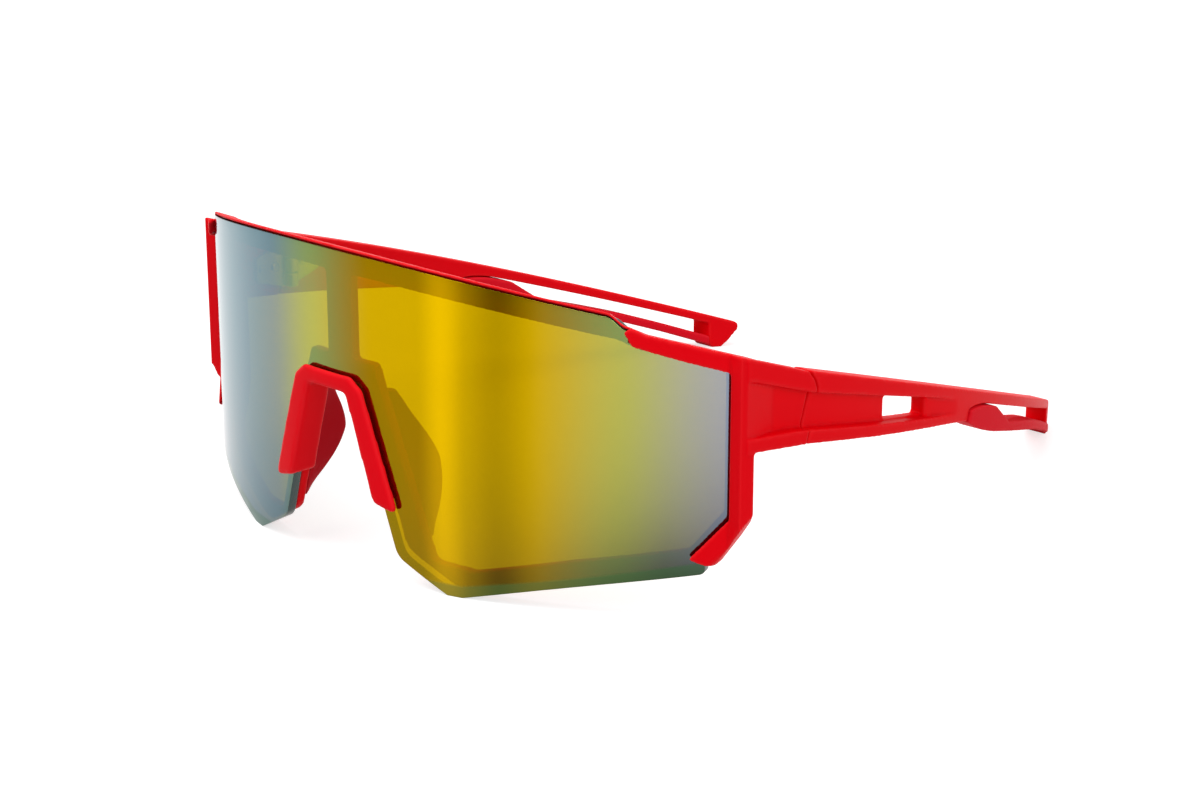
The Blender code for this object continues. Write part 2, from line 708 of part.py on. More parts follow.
def top_cutter():
    """Slopes the top of the frame to the rear: the brow lip, then the two brackets."""
    rings = brow_rings(GAP + BROW_LIP)[1:-1]
    high = rings[0][-1][2]
    past = FRAME_HALF_WIDTH + OVERRUN
    angle = math.asin(ARM_JOIN_X / LENS_RADIUS)
    stops = [(wrap_point(angle, -BRACKET_PROUD - GAP), wrap_point(angle, FRAME_BACK + GAP))]
    stops.append(((past, NEAR_Y), (past, FAR_Y)))
    for (front_x, front_y), (back_x, back_y) in stops:
        for side in SIDES.values():
            rings.insert(len(rings) if side > 0 else 0, [
                (side * front_x, front_y, side_top(front_y)),
                (side * back_x, back_y, side_top(back_y)),
                (side * back_x, back_y, high),
                (side * front_x, front_y, high),
            ])
    return lofted(rings)


def foot_cutter(side):
    """Slopes the lower end of a bracket up behind the lens."""
    low, high = [], []
    low_line = ((ARM_FOOT_OUT_X, ARM_FOOT_OUT_Z), (FRAME_HALF_WIDTH, POST_LOW_Z))
    start, end = ARM_FOOT_OUT_X - FOOT_CUT_REACH, FRAME_HALF_WIDTH + OVERRUN
    for across, along in (
        (start, FOOT_CUT_Y),
        (end, FOOT_CUT_Y),
        (end, FOOT_CUT_Y + FOOT_CUT_REACH),
        (start, FOOT_CUT_Y + FOOT_CUT_REACH),
    ):
        up = along_line(*low_line, across) + (along - FOOT_CUT_Y) * FOOT_CUT_RISE
        high.append((side * across, along, up))
        low.append((side * across, along, along_line(*low_line, start) - FOOT_CUT_REACH))
    return lofted([low, high])


def rivet_spots():
    """Distance from the hinge pin of each rivet of a leaf."""
    return [share * LEAF_LENGTH for share in RIVET_Y_SHARES]


def hinge_top_z():
    return HINGE_LOW_Z + BARREL_COUNT * BARREL_HEIGHT + (BARREL_COUNT - 1) * GAP


def hinge_middle_z():
    return (HINGE_LOW_Z + hinge_top_z()) / 2


def cylinder(centre, axis, radius, low, high):
    return turned([(radius, low), (radius, high)], centre, axis)


def rivet_bore(side, along, face_x):
    """The blind hole for a rivet in the face at face_x of a lug or a temple."""
    ends = sorted((side * (face_x - OVERRUN), side * (face_x + RIVET_DEPTH + GAP)))
    return cylinder((0, along, hinge_middle_z()), "X", RIVET_RADIUS + PIN_FIT, *ends)


def make_frame(material):
    low, high = -OVERRUN, LENS_HEIGHT + CUT_REACH
    frame = prism(frame_plan(), "Z", low, high)
    combine(frame, prism(frame_outline(), "Y", NEAR_Y, FAR_Y), "INTERSECT")
    combine(frame, top_cutter(), "DIFFERENCE")
    for side in SIDES.values():
        combine(frame, foot_cutter(side), "DIFFERENCE")
    wide = math.asin(FRAME_HALF_WIDTH / (LENS_RADIUS + BRACKET_PROUD))
    front_room = wrap_band(wide, -CUT_REACH, 0, low - OVERRUN, high + OVERRUN)
    room = prism(bracket_outline(), "Y", NEAR_Y, FAR_Y)
    combine(frame, combine(front_room, room, "INTERSECT"), "DIFFERENCE")
    combine(frame, lens_slot(), "DIFFERENCE")
    for side in SIDES.values():
        eye = prism(flipped(eye_outline(), side), "Y", NEAR_Y, FAR_Y)
        combine(frame, eye, "DIFFERENCE")
        combine(frame, make_lug(side), "UNION")
        combine(frame, lug_channel(side), "DIFFERENCE")
        for spot in rivet_spots():
            combine(frame, rivet_bore(side, HINGE_Y - spot, LUG_INNER_X), "DIFFERENCE")
    return finish(frame, "front_frame", material)


def make_clip(material):
    half = rounded([
        (0, CLIP_TOP_Z, 0),
        (CLIP_TOP_HALF, CLIP_TOP_Z, CLIP_ROUND),
        (CLIP_SHOULDER_HALF, CLIP_TOP_Z - CLIP_SHOULDER_DROP, CLIP_ROUND),
        (CLIP_FOOT_HALF, CLIP_FOOT_Z, CLIP_ROUND),
        (nose_half(CLIP_FOOT_Z + CLIP_FOOT_SLANT), CLIP_FOOT_Z + CLIP_FOOT_SLANT, 0),
        (CLIP_INNER_TOP_HALF, CLIP_INNER_TOP_Z, CLIP_ROUND),
        (0, CLIP_INNER_TOP_Z, 0),
    ])
    wide = math.asin(CLIP_REACH / LENS_RADIUS)
    web_back = FRAME_BACK + WEB_PAST
    clip = wrap_band(wide, -CLIP_PROUD, web_back, 0, LENS_HEIGHT)
    combine(clip, prism(mirrored(half), "Y", NEAR_Y, FAR_Y), "INTERSECT")
    web_top = CLIP_INNER_TOP_Z + CLIP_WEB
    beside_web = mirrored([
        (0, web_top),
        (nose_half(web_top) + CLIP_WEB, web_top),
        (nose_half(0) + CLIP_WEB, 0),
        (CLIP_REACH, 0),
        (CLIP_REACH, LENS_HEIGHT),
        (0, LENS_HEIGHT),
    ])
    behind = wrap_band(wide, -GAP, web_back + OVERRUN, -OVERRUN, LENS_HEIGHT + OVERRUN)
    away = prism(beside_web, "Y", NEAR_Y, FAR_Y)
    combine(clip, combine(behind, away, "INTERSECT"), "DIFFERENCE")
    return finish(clip, "nose_clip", material)


def smooth_value(values, place):
    """Reads evenly placed values along a smooth curve; place counts in steps of the table."""
    index = min(int(place), len(values) - 2)
    step = place - index
    before, start, end, after = (
        values[min(max(index + k, 0), len(values) - 1)] for k in (-1, 0, 1, 2)
    )
    lead = (end - before) / 2
    trail = (after - start) / 2
    bend = 3 * (end - start) - 2 * lead - trail
    return start + step * (lead + step * (bend + step * (2 * (start - end) + lead + trail)))


def make_pad(side, name, material):
    rings = []
    last = len(PAD_REACH_SHARES) - 1
    for row in range(PAD_STEPS + 1):
        share = smooth_value(PAD_REACH_SHARES, last * row / PAD_STEPS)
        up = PAD_LOW_Z + (PAD_HIGH_Z - PAD_LOW_Z) * row / PAD_STEPS
        inner = notch_half(up) + PAD_INSET
        outer = inner + PAD_THICKNESS
        reach = PAD_REACH * share
        lean = PAD_FLARE * (1 - PAD_LEAN_SHARE * share)
        ring = rounded([
            (inner, wrap_y(inner, FRAME_BACK + GAP), 0),
            (outer, wrap_y(outer, FRAME_BACK + GAP), 0),
            (outer + lean, wrap_y(inner, FRAME_BACK + GAP) + reach, PAD_ROUND),
            (inner + lean, wrap_y(inner, FRAME_BACK + GAP) + reach, PAD_ROUND),
        ])
        rings.append([(side * a, b, up) for a, b in ring])
    return finish(lofted(rings), name, material)


# Temples

TEMPLE_LENGTH = TEMPLE_TIP_Y - TEMPLE_TOP_Y
ARC_CENTRE_X = TEMPLE_WIDEST_X - TEMPLE_ARC
TEMPLE_FALL = TEMPLE_TOP_Z - TEMPLE_END_Z
TEMPLE_SLOPE = (TEMPLE_FALL - TEMPLE_LENGTH**2 / TEMPLE_BEND) / TEMPLE_LENGTH


def temple_top(along):
    run = along - TEMPLE_TOP_Y
    return TEMPLE_TOP_Z - run * TEMPLE_SLOPE - run**2 / TEMPLE_BEND


def blend(shares, share):
    """Reads a table of (place, value) pairs at one place."""
    for (place_a, value_a), (place_b, value_b) in zip(shares, shares[1:]):
        if share <= place_b:
            return value_a + (value_b - value_a) * (share - place_a) / (place_b - place_a)
    return shares[-1][1]


def temple_low(along):
    share = (along - TEMPLE_TOP_Y) / TEMPLE_LENGTH
    return temple_top(along) - TEMPLE_FRONT_HEIGHT * blend(TEMPLE_LOWER_SHARES, share)


def temple_x(along, depth):
    """X of the surface that lies depth inside the temple's outer side."""
    radius = TEMPLE_ARC - depth
    return ARC_CENTRE_X + math.sqrt(radius**2 - (along - TEMPLE_WIDEST_Y) ** 2)


def temple_band(outer, inner, side):
    """The bent bar between two depths, as a tall body."""
    stops = spread(JOINT_Y - CUT_REACH, TEMPLE_TIP_Y + OVERRUN, TEMPLE_STEPS)
    plan = [(temple_x(y, outer), y) for y in stops]
    plan += [(temple_x(y, inner), y) for y in reversed(stops)]
    return prism(flipped(plan, side), "Z", -OVERRUN, TEMPLE_TOP_Z + OVERRUN)


def side_prism(outline, side):
    """An outline in Y and Z run through the whole side of the object."""
    low, high = sorted((side * TEMPLE_WIDEST_X / 2, side * (TEMPLE_WIDEST_X + OVERRUN)))
    return prism(outline, "X", low, high)


def channel_top(along):
    """Height of the upper edge of the channel on the temple."""
    share = (along - JOINT_Y) / (CHANNEL_TAIL_Y - JOINT_Y)
    return temple_top(along) - RAIL_TOP_FRONT - (RAIL_TOP_BACK - RAIL_TOP_FRONT) * share


def channel_low(along):
    """Height of the lower edge of the channel on the temple."""
    share = (along - JOINT_Y) / (CHANNEL_TAIL_Y - JOINT_Y)
    return temple_low(along) + RAIL_LOW_FRONT + (RAIL_LOW_BACK - RAIL_LOW_FRONT) * share


def channel_face():
    """The channel seen from the side, from the lug to its tail."""
    top, low = [], []
    for along in spread(CHANNEL_START_Y, JOINT_Y, LUG_STEPS)[:-1]:
        top.append((along, side_top(along) - RAIL_TOP_FRONT))
        low.append((along, lug_low(along) + RAIL_LOW_FRONT))
    for along in spread(JOINT_Y, CHANNEL_TAIL_Y, GRIP_STEPS):
        top.append((along, channel_top(along)))
        low.append((along, channel_low(along)))
    return top + low[::-1]


def lug_channel(side):
    past = JOINT_Y + CUT_REACH
    plan = [
        (lug_outer_x(CHANNEL_START_Y), CHANNEL_START_Y),
        (lug_outer_x(CHANNEL_FULL_Y) - CHANNEL_DEPTH, CHANNEL_FULL_Y),
        (lug_outer_x(past) - CHANNEL_DEPTH, past),
        (lug_outer_x(past) + OVERRUN, past),
        (lug_outer_x(CHANNEL_START_Y) + OVERRUN, CHANNEL_START_Y),
    ]
    cutter = prism(flipped(plan, side), "Z", 0, LENS_HEIGHT)
    return combine(cutter, side_prism(channel_face(), side), "INTERSECT")


def temple_channel(side):
    window_end = WINDOW_Y + WINDOW_LENGTH
    stops = spread(JOINT_Y - CUT_REACH, window_end, GRIP_STEPS)
    plan = [(temple_x(y, CHANNEL_DEPTH), y) for y in stops]
    for along in spread(window_end, CHANNEL_TAIL_Y, ARC_STEPS):
        share = (CHANNEL_TAIL_Y - along) / (CHANNEL_TAIL_Y - window_end)
        plan.append((temple_x(along, CHANNEL_TAIL_DEPTH * share), along))
    plan += [
        (TEMPLE_WIDEST_X + OVERRUN, CHANNEL_TAIL_Y),
        (TEMPLE_WIDEST_X + OVERRUN, JOINT_Y - CUT_REACH),
    ]
    cutter = prism(flipped(plan, side), "Z", 0, LENS_HEIGHT)
    return combine(cutter, side_prism(channel_face(), side), "INTERSECT")


def window_face():
    """The window through the temple, seen from the side."""
    end = WINDOW_Y + WINDOW_LENGTH
    return rounded([
        (WINDOW_Y, channel_low(WINDOW_Y) + WINDOW_EDGE, WINDOW_ROUND),
        (WINDOW_Y, channel_top(WINDOW_Y) - WINDOW_EDGE, WINDOW_ROUND),
        (end, channel_top(end) - WINDOW_EDGE, WINDOW_ROUND),
        (end, channel_low(end) + WINDOW_EDGE, WINDOW_ROUND),
    ])


def grip_bottom(along):
    """Height of the underside of the ear grip and of the temple end."""
    share = (along - GRIP_START_Y) / (TEMPLE_TIP_Y - GRIP_START_Y)
    return temple_top(along) - GRIP_SWELL * blend(GRIP_HEIGHT_SHARES, share)


def strip_low(along):
    """Height of the underside of the top strip, which is thicker where it leaves the temple."""
    share = (along - GRIP_START_Y) / (GRIP_END_Y - GRIP_START_Y)
    thick = STRIP_TOP_FRONT + (STRIP_TOP_BACK - STRIP_TOP_FRONT) * share
    root = max(1.0 - (along - GRIP_START_Y) / STRIP_ROOT_RUN, 0.0)
    return temple_top(along) - thick - STRIP_ROOT * root**2


def temple_face():
    """The temple seen from the side: front part, top strip and tip."""
    start_y = joint_y(temple_top(JOINT_Y)) + GAP
    foot_y = joint_y(temple_low(JOINT_Y)) + GAP
    upper = [(y, temple_top(y)) for y in spread(start_y, TEMPLE_TIP_Y, TEMPLE_STEPS)]
    tip = rounded([
        (upper[-2][0], upper[-2][1], 0),
        (TEMPLE_TIP_Y, upper[-1][1], TIP_ROUND),
        (TIP_LOW_Y, TIP_LOW_Z, 0),
        (FOOT_Y + TIP_FOOT, 0, 0),
        (FOOT_Y, 0, 0),
        (GRIP_END_Y + GAP, grip_bottom(GRIP_END_Y), 0),
        (GRIP_END_Y + GAP, strip_low(GRIP_END_Y), 0),
    ])[1:]
    seam_y = GRIP_START_Y + GRIP_SEAM_RUN
    strip = [(y, strip_low(y)) for y in spread(GRIP_END_Y, seam_y, TEMPLE_STEPS)[1:]]
    strip.append((GRIP_START_Y, temple_low(GRIP_START_Y)))
    lower = [(y, temple_low(y)) for y in spread(GRIP_START_Y, foot_y, GRIP_STEPS)[1:]]
    joint = joint_line(temple_low(foot_y), temple_top(start_y))[1:-1]
    return upper[:-1] + tip + strip + lower + [(y + GAP, z) for y, z in joint]


def grip_face():
    """The ear grip seen from the side: a wedge at the front, then a low strip."""
    front_y = GRIP_START_Y + GAP
    top = [(y, strip_low(y) - GAP) for y in spread(front_y + GRIP_SEAM_RUN, GRIP_TOP_Y, ARC_STEPS)]
    low_y = GRIP_TOP_Y + GRIP_SLANT_Y
    top += [(y, grip_bottom(y) + STRIP_LOW) for y in spread(low_y, GRIP_END_Y, GRIP_STEPS)]
    bottom = [(y, grip_bottom(y)) for y in spread(GRIP_END_Y, front_y, TEMPLE_STEPS)]
    return top + bottom


def make_temple(side, name, material):
    temple = temple_band(0, TEMPLE_THICKNESS, side)
    combine(temple, side_prism(temple_face(), side), "INTERSECT")
    combine(temple, temple_channel(side), "DIFFERENCE")
    combine(temple, side_prism(window_face(), side), "DIFFERENCE")
    for spot in rivet_spots():
        along = HINGE_Y + spot
        bore = rivet_bore(side, along, temple_x(along, TEMPLE_THICKNESS))
        combine(temple, bore, "DIFFERENCE")
    return finish(temple, name, material, (side * HINGE_X, HINGE_Y, 0))


def make_grip(side, name, material):
    grip = temple_band(-GRIP_PROUD, TEMPLE_THICKNESS + GRIP_PROUD, side)
    combine(grip, side_prism(grip_face(), side), "INTERSECT")
    return finish(grip, name, material, (side * HINGE_X, HINGE_Y, 0))


# Hinges

def leaf_plan(side, back):
    """One leaf seen from above, without its barrels: back along the temple or forward along the lug."""
    near = BARREL_RADIUS + GAP
    if back:
        near_x = temple_x(HINGE_Y + near, TEMPLE_THICKNESS) - GAP
        far_x = temple_x(HINGE_Y + LEAF_LENGTH, TEMPLE_THICKNESS) - GAP
    else:
        near_x = far_x = LUG_INNER_X - GAP
    run = 1 if back else -1
    plan = [
        (near_x - LEAF_THICKNESS, HINGE_Y + run * near),
        (near_x, HINGE_Y + run * near),
        (far_x, HINGE_Y + run * LEAF_LENGTH),
        (far_x - LEAF_THICKNESS, HINGE_Y + run * LEAF_LENGTH),
    ]
    return flipped(plan, side)


def make_leaf(side, back, name, material):
    run = 1 if back else -1
    low, high = HINGE_LOW_Z, hinge_top_z()
    near = BARREL_RADIUS + GAP
    leaf = prism(leaf_plan(side, back), "Z", low - OVERRUN, high + OVERRUN)
    face = rounded([
        (HINGE_Y + run * (near - OVERRUN), low, 0),
        (HINGE_Y + run * (near - OVERRUN), high, 0),
        (HINGE_Y + run * near, high, 0),
        (HINGE_Y + run * LEAF_LENGTH, high - LEAF_TAPER, LEAF_ROUND),
        (HINGE_Y + run * LEAF_LENGTH, low + LEAF_TAPER, LEAF_ROUND),
        (HINGE_Y + run * near, low, 0),
    ])
    combine(leaf, side_prism(face, side), "INTERSECT")
    pin = (side * HINGE_X, HINGE_Y, 0)
    inner_x = leaf_plan(1, back)[0][0]
    outer_x = leaf_plan(1, back)[1][0]
    for index in range(BARREL_COUNT):
        if (index % 2 == 1) != back:
            continue
        foot = low + index * (BARREL_HEIGHT + GAP)
        barrel = cylinder(pin, "Z", BARREL_RADIUS, foot, foot + BARREL_HEIGHT)
        tab = prism(flipped([
            (inner_x, HINGE_Y),
            (HINGE_X + BARREL_RADIUS * TAB_SHARE, HINGE_Y),
            (outer_x, HINGE_Y + run * near),
            (outer_x, HINGE_Y + run * (near + LEAF_THICKNESS / 2)),
            (inner_x, HINGE_Y + run * (near + LEAF_THICKNESS / 2)),
        ], side), "Z", foot, foot + BARREL_HEIGHT)
        combine(leaf, combine(barrel, tab, "UNION"), "UNION")
    bore = cylinder(pin, "Z", SCREW_RADIUS + PIN_FIT, low - OVERRUN, high + OVERRUN)
    combine(leaf, bore, "DIFFERENCE")
    for spot in rivet_spots():
        centre = (0, HINGE_Y + run * spot, hinge_middle_z())
        ends = sorted((side * HINGE_X, side * TEMPLE_WIDEST_X))
        hole = cylinder(centre, "X", RIVET_RADIUS + PIN_FIT, *ends)
        combine(leaf, hole, "DIFFERENCE")
    return finish(leaf, name, material, pin if back else None)


def make_screw(side, name, material):
    top = hinge_top_z() + GAP
    screw = turned([
        (SCREW_RADIUS, HINGE_LOW_Z - GAP),
        (SCREW_RADIUS, top),
        (SCREW_HEAD_RADIUS, top),
        (SCREW_HEAD_RADIUS, top + SCREW_HEAD_HEIGHT / 2),
        (SCREW_HEAD_RADIUS - SCREW_HEAD_HEIGHT / 2, top + SCREW_HEAD_HEIGHT),
    ], (side * HINGE_X, HINGE_Y, 0), "Z")
    middle, half = side * HINGE_X, SCREW_SLOT_WIDTH / 2
    slot = [
        (middle - half, HINGE_Y - SCREW_HEAD_RADIUS - OVERRUN),
        (middle + half, HINGE_Y - SCREW_HEAD_RADIUS - OVERRUN),
        (middle + half, HINGE_Y + SCREW_HEAD_RADIUS + OVERRUN),
        (middle - half, HINGE_Y + SCREW_HEAD_RADIUS + OVERRUN),
    ]
    floor = top + SCREW_HEAD_HEIGHT - SCREW_SLOT_DEPTH
    combine(screw, prism(slot, "Z", floor, floor + OVERRUN), "DIFFERENCE")
    return finish(screw, name, material)


def make_rivet(side, back, spot, name, material):
    run = 1 if back else -1
    along = HINGE_Y + run * spot
    plan = leaf_plan(1, back)
    share = (spot - BARREL_RADIUS - GAP) / (LEAF_LENGTH - BARREL_RADIUS - GAP)
    seat = plan[0][0] + (plan[3][0] - plan[0][0]) * share - PIN_FIT
    tip = seat + PIN_FIT + LEAF_THICKNESS + GAP + RIVET_DEPTH
    crown = seat - RIVET_HEAD_HEIGHT
    rivet = turned([
        (RIVET_HEAD_RADIUS / 2, side * crown),
        (RIVET_HEAD_RADIUS, side * (crown + RIVET_HEAD_HEIGHT / 2)),
        (RIVET_HEAD_RADIUS, side * seat),
        (RIVET_RADIUS, side * seat),
        (RIVET_RADIUS, side * tip),
    ], (0, along, hinge_middle_z()), "X")
    origin = (side * HINGE_X, HINGE_Y, 0) if back else None
    return finish(rivet, name, material, origin)


def centre_depth():
    """Moves everything so that the object stands centred on the origin, front to back."""
    pieces = [item for item in bpy.data.objects if item.type == "MESH"]
    along = [item.location.y + v.co.y for item in pieces for v in item.data.vertices]
    middle = (min(along) + max(along)) / 2
    for item in pieces:
        item.location.y -= middle


def main():
    clear_scene()
    frame_red = make_material("frame_red", (0.72, 0.004, 0.008, 1.0), 0.42)
    lens_gold = make_material("lens_gold", (0.62, 0.45, 0.05, 1.0), 0.08, 0.85)
    clip_red = make_material("clip_red", (0.7, 0.004, 0.012, 1.0), 0.35)
    pad_rubber = make_material("pad_rubber", (0.5, 0.004, 0.012, 1.0), 0.6)
    grip_rubber = make_material("grip_rubber", (0.6, 0.004, 0.01, 1.0), 0.6)
    hinge_steel = make_material("hinge_steel", (0.62, 0.62, 0.64, 1.0), 0.3, 1.0)
    make_lens(lens_gold)
    make_frame(frame_red)
    make_clip(clip_red)
    for word, side in SIDES.items():
        make_pad(side, f"nose_pad_{word}", pad_rubber)
        make_temple(side, f"temple_{word}", frame_red)
        make_grip(side, f"ear_grip_{word}", grip_rubber)
        make_leaf(side, False, f"hinge_leaf_frame_{word}", hinge_steel)
        make_leaf(side, True, f"hinge_leaf_temple_{word}", hinge_steel)
        make_screw(side, f"hinge_screw_{word}", hinge_steel)
        for number, spot in enumerate(rivet_spots(), 1):
            make_rivet(side, False, spot, f"rivet_frame_{word}_{number}", hinge_steel)
            make_rivet(side, True, spot, f"rivet_temple_{word}_{number}", hinge_steel)
    centre_depth()


main()
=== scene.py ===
"""Sport sunglasses with a one-piece shield lens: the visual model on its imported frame.

X runs across the face (the wearer's left is +X), -Y is the front and +Z is up. Lengths are in
metres.
"""

import json
import math

import bmesh
import bpy
import numpy as np
from bpy.props import FloatProperty, FloatVectorProperty, IntProperty, PointerProperty
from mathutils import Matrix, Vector
from mathutils.geometry import delaunay_2d_cdt

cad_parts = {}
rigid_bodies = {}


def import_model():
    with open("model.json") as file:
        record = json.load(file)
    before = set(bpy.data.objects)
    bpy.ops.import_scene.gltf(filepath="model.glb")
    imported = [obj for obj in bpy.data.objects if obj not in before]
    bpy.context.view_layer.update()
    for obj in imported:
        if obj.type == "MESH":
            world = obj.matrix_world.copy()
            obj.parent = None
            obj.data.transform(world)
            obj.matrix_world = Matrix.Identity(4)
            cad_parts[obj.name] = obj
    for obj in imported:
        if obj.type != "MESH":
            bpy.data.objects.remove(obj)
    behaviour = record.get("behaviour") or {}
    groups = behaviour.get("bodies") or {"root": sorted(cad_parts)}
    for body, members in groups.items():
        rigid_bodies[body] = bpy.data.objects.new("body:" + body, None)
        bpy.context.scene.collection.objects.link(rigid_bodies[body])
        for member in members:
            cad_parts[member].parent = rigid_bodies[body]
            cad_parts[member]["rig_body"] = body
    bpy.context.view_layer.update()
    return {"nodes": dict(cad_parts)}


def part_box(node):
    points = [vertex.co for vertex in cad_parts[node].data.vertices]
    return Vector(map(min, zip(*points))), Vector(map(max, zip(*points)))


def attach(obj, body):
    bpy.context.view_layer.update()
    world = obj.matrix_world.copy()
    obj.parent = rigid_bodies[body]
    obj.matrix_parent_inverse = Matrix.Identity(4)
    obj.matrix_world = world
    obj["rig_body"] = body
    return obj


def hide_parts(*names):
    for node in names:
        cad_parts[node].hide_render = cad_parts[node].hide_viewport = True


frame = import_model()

bl_info = {
    "name": "Shield lens sunglasses",
    "version": (1, 0, 0),
    "blender": (4, 5, 0),
    "location": "View3D > Sidebar > Sunglasses",
    "description": "Builds sport sunglasses with one mirrored lens, moulded frame and folding arms",
    "category": "Add Mesh",
}

MM = 0.001
SIDES = ("left", "right")
FRONT_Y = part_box("shield_lens")[0].y

# Outline of the lens and its notch, seen from the front
LENS_HEIGHT = 59.1 * MM
LENS_HALF_WIDTH = 68.6 * MM
BROW_HALF = 51.7 * MM
BROW_FALL = 5.6 * MM
STEP_RUN = 3.3 * MM
STEP_FALL = 2.4 * MM
BROW_SLANT = math.tan(math.radians(18.8))
BROW_SLANT_DEPTH = 3.0 * MM
SHOULDER_Z = 49.1 * MM
SIDE_TOP_Z = 44.9 * MM
SIDE_LOW_Z = 16.7 * MM
SIDE_TURN_X = 60.0 * MM
CORNER_X = 64.9 * MM
CORNER_Z = 8.0 * MM
CORNER_RISE = 3.2 * MM
CORNER_ROUND = 0.8 * MM
FOOT_ARCH = 0.6 * MM
FOOT_IN_X = 25.4 * MM
FOOT_OUT_X = 28.3 * MM
NOSE_FOOT_Z = 5.3 * MM
NOSE_FOOT_ROUND = 4.0 * MM
NOTCH_TOP_Z = 34.9 * MM
NOTCH_TOP_HALF = 5.67 * MM
NOTCH_SLOPE = 0.3216
NOTCH_ROUND = 0.8 * MM

# How finely the lens is divided
OUTLINE_STEP = 1.2 * MM
CAP_STEP = 1.5 * MM
CAP_CLEAR_SHARE = 0.5
BROW_STEPS = 24
STEP_STEPS = 12
ARC_STEPS = 8
EDGE_STEPS = 4

# Zones of the lens, each with a finish of its own
ZONE_MIRROR, ZONE_EDGE, ZONE_INNER = range(3)

# How the skins are made
MERGE = 0.001 * MM
CDT_LIMIT = 0.00001
SMOOTH_SHARES = (0.6, -0.25)
MARK_PASSES = 4
HINGE_PASSES = 5
FRAME_KEEP = 0.4
HEAD_SEGMENTS = 28
HEAD_RINGS = 16

# Moulded finishes: grain is a noise scale, gloss a specular level, and the last entry how pale the
# painted highlight on edges is
FRAME_FINISH = {"roughness": 0.44, "grain": 5200.0, "bump": 0.30, "gloss": 0.05, "edge_highlight": 0.03}
ARM_FINISH = {**FRAME_FINISH, "gloss": 0.06}
CLIP_FINISH = {"roughness": 0.40, "grain": 4600.0, "bump": 0.22, "gloss": 0.05, "edge_highlight": 0.01}
PAD_FINISH = {"roughness": 0.60, "grain": 3600.0, "bump": 0.35, "gloss": 0.05, "edge_highlight": 0.03}
GRIP_FINISH = {"roughness": 0.62, "grain": 2600.0, "bump": 0.55, "gloss": 0.08, "edge_highlight": 0.03}
FINE_DETAIL = 3.0
CLOUD_SCALE = 70.0
CLOUD_SHARE = 0.6
CLOUD_DARK = 0.93
CLOUD_BUMP = 0.5
# Painted light on moulded skins: edges are paled towards white as a painted highlight, and hollows
# are darkened as painted shade
HIGHLIGHT_WHITE = 0.9
HIGHLIGHT_GAIN = 1.1
HOLLOW_SHADE_GAIN = -1.4
HOLLOW_SHADE_DARK = 0.62
GRAIN_DEPTH = 0.06 * MM
GRAIN_ROUGH = 0.16

# Brushed steel of the hinges
BRUSH_SCALE = 6000.0
BRUSH_DETAIL = 4.0
BRUSH_STRETCH = 0.06
BRUSH_BUMP = 0.15
BRUSH_DEPTH = 0.03 * MM
BRUSH_ROUGH = (0.24, 0.18)  # least, and how much the noise adds
STEEL_CLOUD_SCALE = 400.0
STEEL_DARK = 0.72

# The tinted plastic of the lens: colour and share of light let through
CUT_EDGE = ((0.012, 0.060, 0.050), 0.05)
INNER_FACE = ((0.030, 0.026, 0.020), 0.62)
SMOKE_TINT = (0.9, 0.88, 0.8)
SMOKE_SCALE = 60.0
SMOKE_DARK = 0.9
SMOKE_ROUGH = (0.08, 0.02)

# The mirror: gold where it faces forward at the wearer's left, green further out, and teal or
# violet at the sides. This colour by place is partly the coating's own and partly painted
# reflection: the hue and brightness the coating shows from each viewing angle are painted on.
# Each change starts at a distance from FACING_X and takes a run.
FACING_X = 25.0 * MM
GOLD = (0.45, 0.30, 0.0)
GREEN = (0.27, 0.40, 0.12)
GREEN_FROM = 14.0 * MM
GREEN_RUN = 16.0 * MM
TEAL = (0.12, 0.22, 0.26)
VIOLET = (0.25, 0.30, 0.40)
SIDE_FROM = 28.0 * MM
SIDE_RUN = 16.0 * MM
# Painted reflection: a bright streak centred on the forward-facing place, where a light is mirrored
REFLECTED_STREAK = (0.80, 0.50, 0.0)
REFLECTED_STREAK_HALF = 5.0 * MM
# Painted shade: a darker band further out that darkens the mirror where the key light's reflection
# falls
SHADED_BAND = (0.14, 0.11, 0.0)
SHADED_BAND_X = 35.0 * MM
SHADED_BAND_HALF = 8.0 * MM
SEE_MOST = 0.55
SEE_LEAST = 0.03
SEE_FROM = 14.0 * MM
SEE_RUN = 46.0 * MM
SWIRL = 2.7 * MM
MIRROR_HAZE_SCALE = 90.0
MIRROR_ROUGH = (0.06, 0.03)
SWIRL_SCALE = 26.0

# It darkens towards the bottom, most at the wearer's left
LOW_COLOUR = (0.03, 0.02, 0.02)
LOW_POWER = 2.6
LOW_SHADE = 0.42
LOW_SIDE_SHADE = 0.85
LOW_SIDE_X = 36.0 * MM
LOW_SIDE_RUN = 24.0 * MM

# A rim along the bottom edge lets no light through: its height in fades, and one fade
RIM_COLOUR = (0.03, 0.09, 0.03)
RIM_END = 5.0
RIM_FADE = 0.5 * MM
RIM_DARK = 0.55

# Stage: where the camera looks, counted from the front of the lens, and the lights
TARGET = Vector((37.3 * MM, FRONT_Y + 30.0 * MM, 32.6 * MM))
CLIP_START = 10.0 * MM
KEY_PLACE = (-0.15, -0.35, 0.95)
KEY_SIZE = 0.9
FILL_PLACE = (0.9, -0.25, 0.45)
FILL_SIZE = 0.7
WHITE = (1.0, 1.0, 1.0, 1.0)
FLOOR_HALF = 0.9
FLOOR_GREY = (0.58, 0.60)
FLOOR_SCALE = 40.0
FLOOR_ROUGH = 0.9
FLOOR_GLOW = 0.70


# Settings


